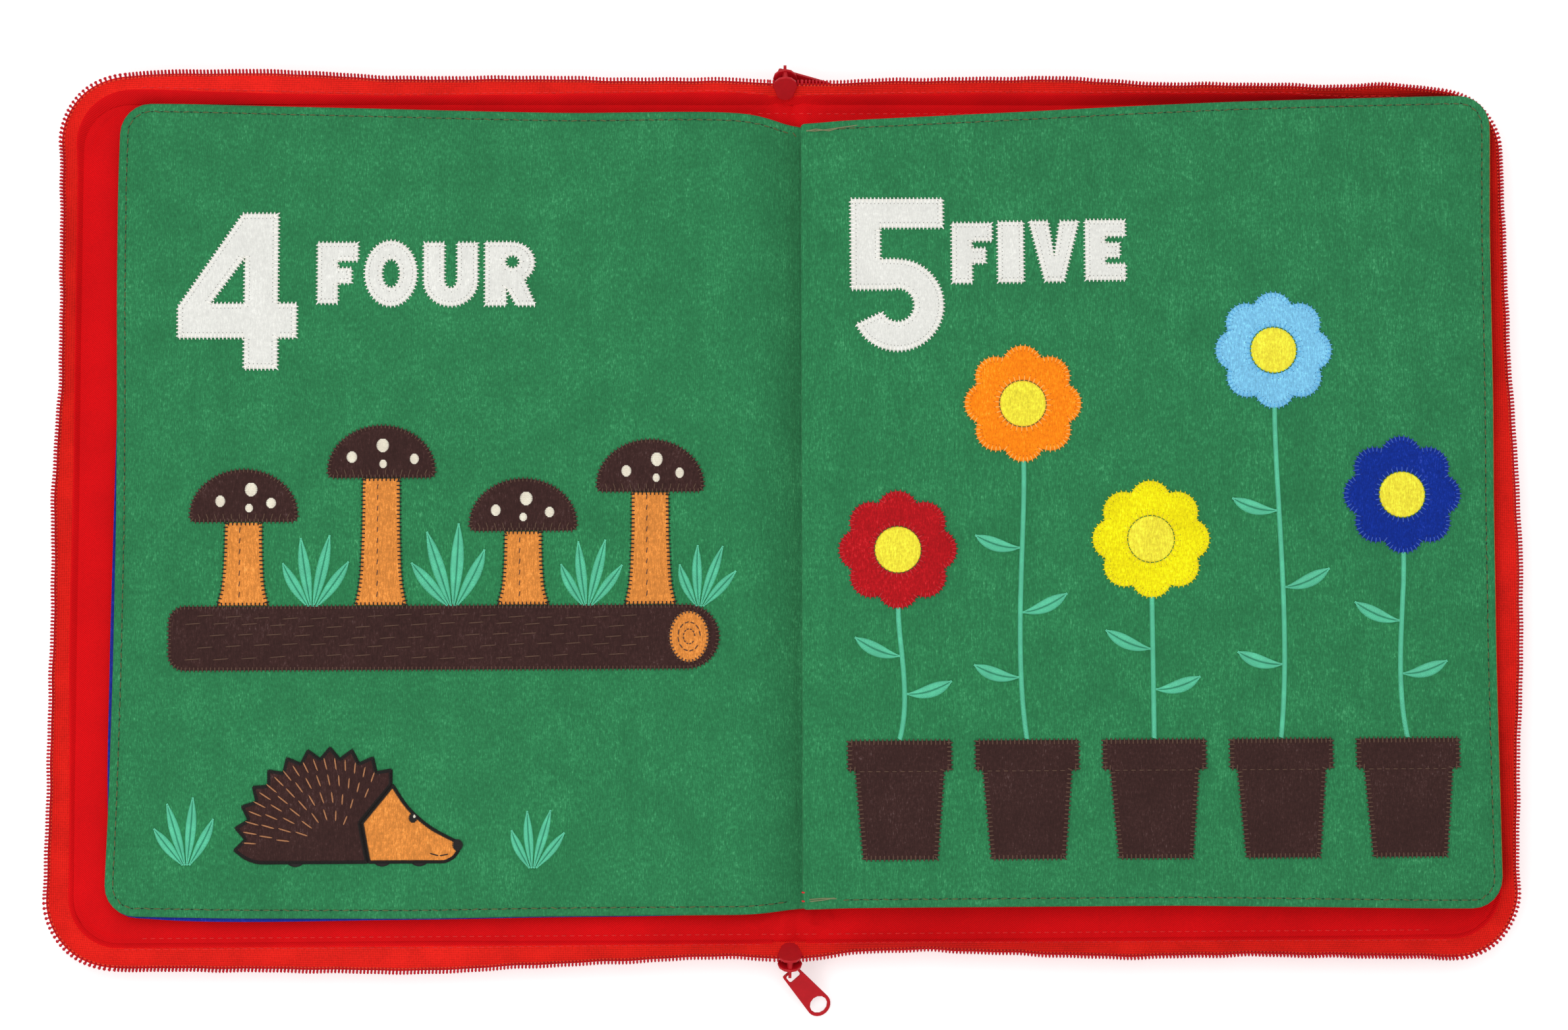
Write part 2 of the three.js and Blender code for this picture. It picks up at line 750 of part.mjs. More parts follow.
const hedgehogInset = 90;
const hedgehogRise = 21;
const hedgehogRadius = 34;
const hedgehogFlat = 8;
const spikeCount = 11;
const spikeDepth = 4.5;
const snoutReach = 54;
const faceAngle = Math.PI * 0.24;

const hedgehogX = leftEdge + hedgehogInset;
const hedgehogLow = leafLow + hedgehogRise;

// The spiny coat is an arc of points over a flat belly, open to the face on the right.
function hedgehogCoat() {
  const centreY = hedgehogLow + hedgehogFlat;
  const shape = new THREE.Shape();
  const finish = Math.PI * 1.06;
  const turn = (finish - faceAngle) / (2 * spikeCount);
  const points = [];
  for (let step = 0; step <= 2 * spikeCount; step += 1) {
    const angle = faceAngle + step * turn;
    const radius = hedgehogRadius + (step % 2 ? spikeDepth : 0);
    points.push(new THREE.Vector2(
      hedgehogX + radius * Math.cos(angle), centreY + radius * Math.sin(angle)));
  }
  points.push(new THREE.Vector2(hedgehogX - hedgehogRadius * 0.8, hedgehogLow));
  points.push(new THREE.Vector2(hedgehogX + hedgehogRadius * 0.45, hedgehogLow));
  points.push(new THREE.Vector2(hedgehogX + hedgehogRadius * 0.36, centreY + hedgehogFlat));
  shape.setFromPoints(points);
  return shape;
}

function hedgehogFace() {
  const centreY = hedgehogLow + hedgehogFlat;
  const gap = seatGap * 2;
  const rootX = hedgehogX + hedgehogRadius * 0.45 + gap;
  const browX = hedgehogX + hedgehogRadius * Math.cos(faceAngle) + gap;
  const browY = centreY + hedgehogRadius * Math.sin(faceAngle);
  const shape = new THREE.Shape();
  shape.moveTo(rootX, hedgehogLow);
  shape.lineTo(hedgehogX + snoutReach - hedgehogFlat, hedgehogLow);
  shape.quadraticCurveTo(
    hedgehogX + snoutReach, hedgehogLow + hedgehogFlat / 4,
    hedgehogX + snoutReach - hedgehogFlat / 4, hedgehogLow + hedgehogFlat);
  shape.quadraticCurveTo(
    browX + hedgehogFlat, centreY + hedgehogFlat, browX, browY);
  shape.lineTo(hedgehogX + hedgehogRadius * 0.36 + gap, centreY + hedgehogFlat);
  return shape;
}

function hedgehog() {
  place('hedgehog_coat', slab(hedgehogCoat(), leftTop, appliqueThickness),
    cloth(colours.brown));
  place('hedgehog_face', slab(hedgehogFace(), leftTop, appliqueThickness),
    cloth(colours.tan));
}

// Page five: a row of five pots, each with one flower on its stalk.
const potFirstInset = 37.7;
const potPitch = 52;
const potRise = 21;
const potHeight = 48;
const potTopWidth = 42;
const potFootWidth = 30;
const potRimHeight = 12;
const potRimOverhang = 3;
const flowerRises = [147, 207, 151, 229, 169];
const flowerColours = ['red', 'orange', 'yellow', 'lightBlue', 'blue'];
const flowerRadius = 24;
const lobeCount = 8;
const lobeRadius = 8.6;
const lobeArcSteps = 6;
const centreRadius = 9.5;
const centreThickness = 0.5;

const potLow = leafLow + potRise;

function potShape(x) {
  const half = potTopWidth / 2;
  const foot = potFootWidth / 2;
  const rimLow = potLow + potHeight - potRimHeight;
  const rimHigh = potLow + potHeight;
  return new THREE.Shape([
    [x - foot, potLow], [x + foot, potLow],
    [x + half - potRimOverhang, rimLow], [x + half, rimLow],
    [x + half, rimHigh], [x - half, rimHigh],
    [x - half, rimLow], [x - half + potRimOverhang, rimLow],
  ].map(([px, py]) => new THREE.Vector2(px, py)));
}

// Round lobes whose arcs meet at the notches between them.
function petalShape(x, y) {
  const lobeAt = flowerRadius - lobeRadius;
  const halfTurn = Math.PI / lobeCount;
  const notch = lobeAt * Math.cos(halfTurn)
    + Math.sqrt(lobeRadius ** 2 - (lobeAt * Math.sin(halfTurn)) ** 2);
  const reach = Math.atan2(notch * Math.sin(halfTurn), notch * Math.cos(halfTurn) - lobeAt);
  const shape = new THREE.Shape();
  const points = [];
  for (let lobe = 0; lobe < lobeCount; lobe += 1) {
    const turn = lobe * 2 * halfTurn + Math.PI / 2;
    for (let step = 0; step < lobeArcSteps; step += 1) {
      const angle = turn - reach + (2 * reach * step) / lobeArcSteps;
      points.push(new THREE.Vector2(
        x + lobeAt * Math.cos(turn) + lobeRadius * Math.cos(angle),
        y + lobeAt * Math.sin(turn) + lobeRadius * Math.sin(angle)));
    }
  }
  shape.setFromPoints(points);
  shape.holes.push(discShape(x, y, centreRadius + seatGap));
  return shape;
}

function flowers() {
  flowerRises.forEach((rise, index) => {
    const x = gutterX + potFirstInset + index * potPitch;
    const y = leafLow + rise;
    place(`pot_${index + 1}`, slab(potShape(x), rightTop, appliqueThickness),
      cloth(colours.brown));
    place(`flower_${index + 1}`,
      slab(petalShape(x, y), rightTop, appliqueThickness, circleSteps),
      cloth(colours[flowerColours[index]]));
    place(`flower_centre_${index + 1}`,
      slab(discShape(x, y, centreRadius), rightTop, centreThickness, circleSteps),
      cloth(colours.yellow));
  });
}

covers();
spine();
zip();
sliders();
leafSheets();
numeralFour();
numeralFive();
mushrooms();
hedgehog();
flowers();

export default book;
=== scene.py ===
import math

import bpy
import numpy as np
from mathutils import Euler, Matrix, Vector
from mathutils.geometry import delaunay_2d_cdt


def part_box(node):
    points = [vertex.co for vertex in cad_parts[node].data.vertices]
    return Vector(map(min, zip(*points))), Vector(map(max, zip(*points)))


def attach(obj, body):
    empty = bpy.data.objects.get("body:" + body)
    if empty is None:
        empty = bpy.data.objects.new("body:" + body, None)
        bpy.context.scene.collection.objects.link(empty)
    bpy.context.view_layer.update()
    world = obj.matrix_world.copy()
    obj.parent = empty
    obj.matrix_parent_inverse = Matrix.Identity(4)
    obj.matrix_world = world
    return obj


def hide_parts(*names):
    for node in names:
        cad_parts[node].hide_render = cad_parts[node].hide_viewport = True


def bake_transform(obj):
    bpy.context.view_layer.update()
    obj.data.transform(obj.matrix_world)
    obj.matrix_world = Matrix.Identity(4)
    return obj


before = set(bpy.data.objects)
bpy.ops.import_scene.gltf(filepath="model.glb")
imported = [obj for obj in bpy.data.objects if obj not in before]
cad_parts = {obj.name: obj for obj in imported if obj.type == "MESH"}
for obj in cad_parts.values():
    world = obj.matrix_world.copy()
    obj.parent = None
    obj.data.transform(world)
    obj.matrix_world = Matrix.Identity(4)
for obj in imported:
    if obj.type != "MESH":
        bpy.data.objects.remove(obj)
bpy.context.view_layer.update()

# A soft counting book, open at pages four and five. Lengths below are millimetres.
MM = 0.001
TAU = 2 * math.pi

# Pages 1 to 10 by the colour of their felt, and the leaf that each belongs to.
PAGE_CODES = {"red": "b01018", "yellow": "f0dc10", "blue": "1c2a8a", "green": "2d7b4d",
              "orange": "f08a28", "light_blue": "7cc4ec"}
PAGES = {f"page_{number}": shade for number, shade in enumerate((
    "red", "yellow", "blue", "green", "green", "orange", "red", "light_blue", "blue", "yellow"), 1)}
LEAF_OF = {page: f"leaf_{(number + 1) // 2}" for number, page in enumerate(PAGES, 1)}
# The kind and colour of each material, and its contrast where that isn't 1.
LOOKS = {
    "twill_red": ("twill", "cc0a10"), "lining_red": ("twill", "d4080f"),
    "tape_red": ("tape", "ec1e14"), "coil_red": ("nylon", "c01424"),
    "slider_red": ("enamel", "b80c1a"), "wadding": ("felt", "e9e4da"),
    "felt_white": ("felt", "e5e5df", 0.35),
}
SHAPE_CODES = {"brown": "3b2523", "tan": "d8863c", "red": "b0121a", "orange": "ff8410",
               "yellow": "f4e40c", "light_blue": "7cc4ec", "blue": "0d2c8e", "centre": "f4e43c"}
# The darkest colours, for needle holes and pin holes, are painted shade inside those holes.
THREAD_CODES = {
    "white": "faf7ee", "pin_grey": "6e6962", "brown_light": "553a2c", "tan": "a8714a",
    "black": "17110f", "cream": "ece4d2", "mint": "5cc8a0", "vein": "2c8a68",
    "olive": "59643a", "olive_light": "79805a", "needle": "0f2c1a", "scarlet": "d8242a",
    "hem": "e02020", "tape": "e8482a", "red_thread": "c22028", "red_pin": "5c0a0e",
    "orange_thread": "ffb050", "orange_pin": "a84c08", "yellow_thread": "ecd60e",
    "yellow_pin": "a08a08", "light_blue_thread": "5caedd", "light_blue_pin": "2e6d96",
    "blue_thread": "3557b4", "blue_pin": "061446",
}
LOOKS.update((f"felt_{code}", ("felt", code)) for code in PAGE_CODES.values())
LOOKS.update((f"felt_{name}", ("felt", code)) for name, code in SHAPE_CODES.items())
LOOKS.update((f"thread_{name}", ("yarn", code)) for name, code in THREAD_CODES.items())


# Materials
def linear(code):
    parts = [int(code[i:i + 2], 16) / 255 for i in (0, 2, 4)]
    return [p / 12.92 if p <= 0.04045 else ((p + 0.055) / 1.055) ** 2.4 for p in parts]


def tinted(code, factor):
    return [min(1.0, part * factor) for part in linear(code)] + [1.0]


class Shader:
    """A cloth or paint material made of noise and wave layers, for colour and for bump."""

    def __init__(self, name, rough, sheen, coat, specular):
        self.material = bpy.data.materials.new(name)
        self.material.use_nodes = True
        self.tree = self.material.node_tree
        self.surface = self.set(self.tree.nodes["Principled BSDF"], {
            "Roughness": rough, "Sheen Weight": sheen, "Sheen Roughness": 0.4,
            "Coat Weight": coat, "Coat Roughness": 0.12, "Specular IOR Level": specular})
        self.place = self.node("TexCoord").outputs["Object"]

    def set(self, node, inputs):
        """Each input gets its value, or a link from another node's output."""
        for key, value in inputs.items():
            if isinstance(value, bpy.types.NodeSocket):
                self.tree.links.new(value, node.inputs[key])
            else:
                node.inputs[key].default_value = value
        return node

    def node(self, kind, **inputs):
        return self.set(self.tree.nodes.new(f"ShaderNode{kind}"), inputs)

    def math(self, kind, a, b):
        node = self.set(self.node("Math"), {0: a, 1: b})
        node.operation = kind
        return node.outputs[0]

    def mapped(self, scale, turn=0.0):
        return self.node("Mapping", Vector=self.place, Scale=scale, Rotation=(0, 0, turn)).outputs[0]

    def noise(self, size, detail=2.0, stretch=(1, 1, 1), rough=0.5):
        place = self.mapped([1 / (size * MM * s) for s in stretch])
        return self.node("TexNoise", Vector=place, Scale=1.0, Detail=detail,
                         Roughness=rough).outputs["Fac"]

    def wave(self, pitch, turn, distortion=0.6):
        node = self.node("TexWave", Vector=self.mapped((1, 1, 1), turn), Detail=1.0,
                         Scale=TAU / 20 / (pitch * MM), Distortion=distortion)
        return self.set(node, {"Detail Scale": 2.0}).outputs["Fac"]

    def total(self, parts):
        """Sum of (value, weight) round one half."""
        value = None
        for part, weight in parts:
            step = self.math("MULTIPLY", self.math("SUBTRACT", part, 0.5), weight)
            value = step if value is None else self.math("ADD", value, step)
        return self.math("ADD", value, 0.5)

    def colour(self, code, dark, light, fleck, parts):
        ramp = self.node("ValToRGB", Fac=self.total(parts))
        ends = ramp.color_ramp.elements
        ends[0].color = tinted(code, dark)
        ends[1].color = [min(1.0, part + 0.02 * fleck) for part in tinted(code, light ** 2)]
        for place, factor in ((0.5, 1.0), (0.74, light)):
            ends.new(place).color = tinted(code, factor)
        self.set(self.surface, {"Base Color": ramp.outputs["Color"]})

    def bump(self, height, strength, parts):
        node = self.node("Bump", Strength=strength, Distance=height * MM, Height=self.total(parts))
        self.set(self.surface, {"Normal": node.outputs["Normal"]})


NOISE, WAVE = Shader.noise, Shader.wave
# Of each kind: roughness, sheen, coat and specular, its darkest and lightest shade and the
# fleck in the lightest, height and strength of its bump, and its layers. A layer is a call
# with its values, its weight in the colour and its weight in the bump.
KINDS = {
    "felt": ((0.96, 0.12, 0, 0.15), (0.7, 1.34, 2.0), (0.4, 0.6), [
        (NOISE, (0.7, 3.0, (0.6, 3.2, 1.0), 0.65), 1.5, 0.8),
        (NOISE, (1.3, 4.0, (1, 1, 1), 0.72), 1.2, 0.9),
        (NOISE, (17.0, 3.0), 0.5, 0), (NOISE, (7.0, 2.0, (0.5, 9.0, 1.0)), 0.2, 0)]),
    "twill": ((0.85, 0.03, 0, 0.12), (0.74, 1.22, 0), (0.12, 0.6), [
        (WAVE, (0.62, 0.9), 0.6, 0.8), (NOISE, (0.4, 2.0), 0.5, 0.3),
        (NOISE, (22.0, 3.0), 0.5, 0)]),
    "tape": ((0.8, 0.04, 0, 0.18), (0.68, 1.3, 0), (0.12, 0.6), [
        (WAVE, (0.7, 0.0, 0.3), 0.3, 0.5), (WAVE, (0.7, TAU / 4, 0.3), 0.4, 0.5),
        (NOISE, (0.8, 3.0), 0.9, 0.4), (NOISE, (12.0, 2.0), 0.7, 0)]),
    "yarn": ((0.6, 0.1, 0, 0.35), (0.72, 1.3, 0), (0.06, 0.5), [
        (NOISE, (0.35, 3.0), 0.8, 1.0), (NOISE, (5.0, 2.0), 0.5, 0)]),
    "nylon": ((0.55, 0, 0, 0.2), (0.82, 1.2, 0), (0.04, 0.35), [
        (NOISE, (0.5, 2.0), 0.4, 1.0), (NOISE, (9.0, 2.0), 0.5, 0)]),
    "enamel": ((0.45, 0, 0.12, 0.2), (0.8, 1.16, 0), (0.05, 0.3), [
        (NOISE, (0.6, 2.0), 0.3, 0.6),
        (NOISE, (3.0, 4.0, (1, 1, 1), 0.65), 0.7, 0.4)]),
}
MATERIALS = {}


def finish_of(name):
    """One material for each name, made when it is first asked for."""
    if name not in MATERIALS:
        kind, code, contrast = (*LOOKS[name], 1.0)[:3]
        look, (dark, light, fleck), relief, layers = KINDS[kind]
        made = Shader(name, *look)
        parts = [(call(made, *values), tone, rise) for call, values, tone, rise in layers]
        made.colour(code, dark ** contrast, light ** contrast, fleck,
                    [(part, tone) for part, tone, _ in parts])
        made.bump(*relief, [(part, rise) for part, _, rise in parts if rise])
        MATERIALS[name] = made.material
    return MATERIALS[name]


# Meshes
def show(name, data):
    item = bpy.data.objects.new(name, data)
    bpy.context.scene.collection.objects.link(item)
    return item


def add_piece(name, solid, finish, body=None, nodes=(), slot=None):
    """A piece from (points, faces), in the place of some CAD nodes. Its slot argument is not used."""
    points, faces = solid
    mesh = bpy.data.meshes.new(name)
    mesh.from_pydata((np.asarray(points, float) * MM).tolist(), [], faces)
    mesh.validate()
    mesh.shade_smooth()
    mesh.set_sharp_from_angle(angle=0.9)
    mesh.materials.append(finish_of(finish))
    piece = show(name, mesh)
    if not finish.startswith("thread"):
        slot or finish
    if body:
        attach(piece, body)
    if nodes:
        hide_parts(*nodes)
    return piece


def loops_of(node):
    """Outlines of a flat CAD node as seen from above, the outer one first."""
    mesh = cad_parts[node].data
    co = np.array([v.co for v in mesh.vertices]) / MM
    top = co[:, 2].max() - 0.01
    keys = {}
    ids = [keys.setdefault(tuple(np.round(p, 3)), len(keys)) for p in co]
    spots = np.array(list(keys))
    seen = set()
    mesh.calc_loop_triangles()
    for tri in mesh.loop_triangles:
        corners = [ids[i] for i in tri.vertices]
        if spots[corners, 2].min() > top:
            seen.update(zip(corners, corners[1:] + corners[:1]))
    follow = {a: b for a, b in seen if (b, a) not in seen}
    loops = []
    while follow:
        at = next(iter(follow))
        loop = []
        while at in follow:
            loop.append(spots[at][:2])
            at = follow.pop(at)
        loops.append(np.array(loop))
    return sorted(loops, key=lambda loop: -abs(area_of(loop)))


def area_of(loop):
    x, y = loop[:, 0], loop[:, 1]
    return float((x * np.roll(y, -1) - np.roll(x, -1) * y).sum() / 2)


def unit(ways):
    return ways / np.maximum(np.linalg.norm(ways, axis=-1, keepdims=True), 1e-9)


def spread(at, run, line):
    """Places on a line of points, at distances from its start."""
    return np.stack([np.interp(at, run, line[:, k]) for k in (0, 1)], 1)


def columns(*parts):
    """Rows of numbers, from arrays and single numbers side by side."""
    return np.column_stack(np.broadcast_arrays(*parts))


def left_of(ways):
    return np.stack([-ways[:, 1], ways[:, 0]], 1)


def flowing(loop, spacing, corner=0.5):
    """The loop with its shallow bends made smooth, as points about spacing apart."""
    step = np.roll(loop, -1, 0) - loop
    length = np.maximum(np.linalg.norm(step, axis=1), 1e-9)
    ahead = step / length[:, None]
    behind, behind_length = np.roll(ahead, 1, 0), np.roll(length, 1)
    bend = np.arccos(np.clip((ahead * behind).sum(1), -1, 1))
    uneven = 2.5

    def tangent(k, side):
        if bend[k] > corner:
            return ahead[k] if side > 0 else behind[k]
        if length[k] > uneven * behind_length[k]:
            return ahead[k]
        if behind_length[k] > uneven * length[k]:
            return behind[k]
        return unit(ahead[k] + behind[k])

    points = []
    for k in range(len(loop)):
        n = (k + 1) % len(loop)
        steps = max(1, int(round(length[k] / spacing)))
        t = (np.arange(steps) / steps)[:, None]
        m0, m1 = tangent(k, 1) * length[k], tangent(n, -1) * length[k]
        points.append((2 * t**3 - 3 * t**2 + 1) * loop[k] + (t**3 - 2 * t**2 + t) * m0
                      + (3 * t**2 - 2 * t**3) * loop[n] + (t**3 - t**2) * m1)
    return np.concatenate(points)


def run_along(line):
    """Distance from the start at each point of a line."""
    step = np.linalg.norm(np.diff(line, axis=0), axis=1)
    return np.concatenate([[0], np.cumsum(step)])


def evenly(loop, spacing):
    """Points at even steps round a closed loop, and the inward normal at each."""
    closed = np.vstack([loop, loop[:1]])
    run = run_along(closed)
    count = max(3, int(round(run[-1] / spacing)))
    at = np.arange(count) * run[-1] / count
    near = [spread((at + d) % run[-1], run, closed) for d in (-0.4, 0.4)]
    side = 1 if area_of(loop) > 0 else -1
    return spread(at, run, closed), side * left_of(unit(near[1] - near[0]))


def sides_of(loops):
    return [pair for loop in loops for pair in zip(loop, np.roll(loop, -1, 0))]


def inside(points, loops):
    result = np.zeros(len(points), bool)
    x, y = points[:, 0], points[:, 1]
    for a, b in sides_of(loops):
        if a[1] != b[1]:
            crosses = (a[1] > y) != (b[1] > y)
            result ^= crosses & (x < a[0] + (y - a[1]) * (b[0] - a[0]) / (b[1] - a[1]))
    return result


def edge_distance(points, loops):
    best = np.full(len(points), 1e9)
    for a, b in sides_of(loops):
        d = b - a
        t = np.clip(((points - a) @ d) / max(d @ d, 1e-12), 0, 1)
        best = np.minimum(best, np.linalg.norm(points - a - t[:, None] * d, axis=1))
    return best


def sheet_solid(loops, rings, lattice, top, bottom):
    """A closed sheet: points on its outline, on rings inside it and on a lattice, with
    heights top(points, distance to the edge) and bottom(points, distance)."""
    loops = [loop if area_of(loop) > 0 else loop[::-1] for loop in loops[:1]] + [
        loop if area_of(loop) < 0 else loop[::-1] for loop in loops[1:]]
    rows = list(loops)
    for distance in rings:
        for loop in loops:
            ring = loop + left_of(unit(np.roll(loop, -1, 0) - np.roll(loop, 1, 0))) * distance
            keep = edge_distance(ring, loops) > 0.9 * distance
            rows.append(ring[keep & inside(ring, loops)])
    if lattice:
        low, high = loops[0].min(0), loops[0].max(0)
        across = np.arange(low[0], high[0], lattice)
        up = np.arange(low[1], high[1], lattice * 0.866)
        grid = np.stack(np.meshgrid(across, up), -1)
        grid[1::2, :, 0] += lattice / 2
        grid = grid.reshape(-1, 2)
        grid = grid[inside(grid, loops)]
        rows.append(grid[edge_distance(grid, loops) > max(rings) + 0.5 * lattice])
    points = np.concatenate(rows)
    edges, first = [], 0
    for loop in loops:
        edges += [(first + k, first + (k + 1) % len(loop)) for k in range(len(loop))]
        first += len(loop)
    made = delaunay_2d_cdt([Vector(p) for p in points], edges, [], 0, 1e-5)
    spots = np.array([list(v) for v in made[0]])
    corners = np.array(made[2])
    centres = spots[corners].mean(1)
    corners = corners[inside(centres, loops)]
    used = np.unique(corners)
    index = np.full(len(spots), -1)
    index[used] = np.arange(len(used))
    spots, corners = spots[used], index[corners]
    away = edge_distance(spots, loops)
    away[away < 1e-4] = 0
    count = len(spots)
    upper = np.column_stack([spots, top(spots, away)])
    lower = np.column_stack([spots, bottom(spots, away)])
    faces = corners.tolist() + (corners[:, ::-1] + count).tolist()
    half = {(a, b) for tri in corners.tolist() for a, b in zip(tri, tri[1:] + tri[:1])}
    for a, b in half:
        if (b, a) not in half:
            faces.append([b, a, a + count, b + count])
    return np.vstack([upper, lower]), faces


def rounded(away, radius):
    return np.sqrt(np.maximum(0, 1 - (1 - np.clip(away / radius, 0, 1)) ** 2))


def ridge(value, centre, width):
    """One at the centre, and falling off to both sides over a width."""
    return np.exp(-((value - centre) / width) ** 2)


def swell(points, size, seed):
    """Gentle undulation between about -1 and 1."""
    draw = np.random.default_rng(seed)
    total = np.zeros(len(points))
    for _ in range(6):
        turn, phase = draw.uniform(0, TAU, 2)
        k = TAU / (size * draw.uniform(0.7, 1.6))
        total += np.sin(k * (points[:, 0] * math.cos(turn) + points[:, 1] * math.sin(turn)) + phase)
    return total / 3.2


def swept_faces(steps, count):
    """Faces of a closed skin over so many rows of count points each, with both ends."""
    faces = [[s * count + k, s * count + (k + 1) % count, (s + 1) * count + (k + 1) % count,
              (s + 1) * count + k] for s in range(steps - 1) for k in range(count)]
    return faces + [list(range(count))[::-1], [(steps - 1) * count + k for k in range(count)]]


def tubes(paths, radius, sides=6, end=0.35):
    """Short threads: paths is (count, steps, 3). The ends are drawn in to a share."""
    paths = np.asarray(paths, float)
    count, steps = paths.shape[:2]
    along = unit(np.gradient(paths, axis=1))
    guide = np.broadcast_to(np.array([0.0, 0.0, 1.0]), along.shape).copy()
    guide[np.abs(along[..., 2]) > 0.9] = (1.0, 0.3, 0.0)
    across = unit(np.cross(along, guide))
    up = np.cross(across, along)
    thick = np.full(steps, radius)
    thick[0] = thick[-1] = radius * end
    angle = np.arange(sides) * TAU / sides
    ring = (np.cos(angle)[:, None] * across[:, :, None, :]
            + np.sin(angle)[:, None] * up[:, :, None, :]) * thick[None, :, None, None]
    points = (paths[:, :, None, :] + ring).reshape(-1, 3)
    pattern = swept_faces(steps, sides)
    faces = [[base + v for v in face] for base in range(0, len(points), steps * sides)
             for face in pattern]
    return points, faces


def threads(spots, ways, steps, heights, ground=0.0):
    """Paths for tubes: from each spot along its way, by steps of it, at a height for each."""
    paths = np.zeros((len(spots), len(steps), 3))
    for k, (step, height) in enumerate(zip(steps, heights)):
        paths[:, k, :2] = spots + ways * step
        paths[:, k, 2] = ground + height
    return paths


def merged(parts):
    faces, first = [], 0
    for points, own in parts:
        faces += [[v + first for v in face] for face in own]
        first += len(points)
    return np.concatenate([points for points, _ in parts]), faces


# Leaves: where they meet in X, how far the left ones dip there, and how far in the sewing is.
GUTTER = 7.3
DIP = {"leaf_1": 2.4, "leaf_2": 4.6}
STITCH_INSET = 3.4
# Height and length of the leaves' gentle waves, and the share of a page's thickness that its
# edge is rounded by.
LEAF_WAVE, LEAF_WAVE_LONG, EDGE_SOFT = 0.14, 110, 0.55
# Along the gutter the sewing shows only farther than this from the middle in Y, and on page 5
# tacks take its place up to this X.
GUTTER_SEWN, TACKS_END = 157.5, 20
# How far each edge of the left and right pages lies outside the plain rectangle, along it.
EDGES = {
    -1: {"head": [(-276, 2.2), (-251, 2.2), (-208, 1.1), (-164, 0.1), (-121, -1.0),
                  (-88, -1.6), (-44, -1.0), (-22, -1.2), (-10, -2.6), (0, -5), (7, -8)],
         "foot": [(-268, 0.1), (-226, 1.2), (-150, 1.8), (-98, 1.2), (-13, 1.1), (7, -1.5)],
         "fore": [(-150, 0.7), (-122, -0.3), (-100, -0.8), (-60, -1.5), (0, -2.0),
                  (50, -1.6), (90, -1.0), (138, -0.9), (160, -1.5)]},
    1: {"head": [(6, -7.7), (15, -6.4), (32, -5.3), (54, -4.2), (98, -2.0), (142, 0.3), (186, 2.3),
                 (230, 3.7), (274, 4.8)],
        "foot": [(5, -0.8), (16, -1.4), (30, -1.6), (158, -1.7), (201, -1.0), (244, -0.2), (266, 0.2)],
        "fore": [(-146, -0.2), (-60, -0.4), (5, 0.2), (48, 1.0), (115, 1.4), (159, 2.6)]},
}


def eased(at, table, reach=9.0):
    """Smooth value at each place from a table of (place, value)."""
    places, values = zip(*table)
    return sum(np.interp(at + d, places, values) for d in np.linspace(-reach, reach, 7)) / 7


def roll(points, leaf):
    """How far a left leaf rolls down as it nears the gutter."""
    share = np.clip((points[:, 0] - GUTTER + 24) / 22, 0, 1)
    return DIP.get(leaf, 0.0) * share * share * (3 - 2 * share)


def side_of(page):
    return -1 if LEAF_OF[page] in DIP else 1


# How far the edges of some pages show past the page above.
PAST = {
    "page_3": {"fore": [(-150, -0.4), (-128, -0.2), (-100, 1.1), (-50, 1.5), (0, 1.1), (40, 0.1),
                        (60, -0.4)],
               "foot": [(-268, 0.3), (-245, 1.5), (-205, 1.3), (-160, 0.45), (-60, 0.3),
                        (-20, -0.3), (0, -0.5)]},
    "page_4": {"head": 0, "foot": 0, "fore": 0}, "page_5": {"head": 0, "foot": 0, "fore": 0},
    "page_6": {"head": 0.1, "fore": 0.3},
}


def settled(points, page):
    """Pages lie a little out of square, and two of them show past the one above."""
    side = side_of(page)
    moved = points.copy()
    x, y = points[:, 0], points[:, 1]
    for edge, axis, way, along, share in (
            ("head", 1, 1, x, (y - 60) / 109.5), ("foot", 1, -1, x, (-y - 60) / 101.5),
            ("fore", 0, side, y, (np.abs(x - GUTTER) - 150) / 133)):
        past = PAST.get(page, {}).get(edge, -0.4)
        if isinstance(past, list):
            past = eased(along, past)
        moved[:, axis] += way * (eased(along, EDGES[side][edge]) + past) * np.clip(share, 0, 1)
    if page in ("page_3", "page_4"):
        moved[:, 0] += (1.15 if page == "page_4" else 0.4) * np.clip((x - 1.4) / 4, 0, 1)
    if page == "page_5":
        moved[:, 0] -= (1.9 - 0.55 * y / 165) * np.clip((15.6 - x) / 8, 0, 1)
    return moved


def page_faces(page):
    low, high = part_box(page)
    return low[2] / MM, high[2] / MM


def leaf_height(points, page, side):
    """Height of a page's outer face, up for side 1 and down for side -1."""
    low, high = page_faces(page)
    leaf = LEAF_OF[page]
    base = high if side > 0 else low
    return base - roll(points, leaf) + LEAF_WAVE * swell(points, LEAF_WAVE_LONG, int(leaf[-1]))


def page_loop(page, spacing):
    return settled(flowing(loops_of(page)[0], spacing), page)


def flat_of(node):
    low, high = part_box(node)
    return high[0] - low[0], high[1] - low[1]


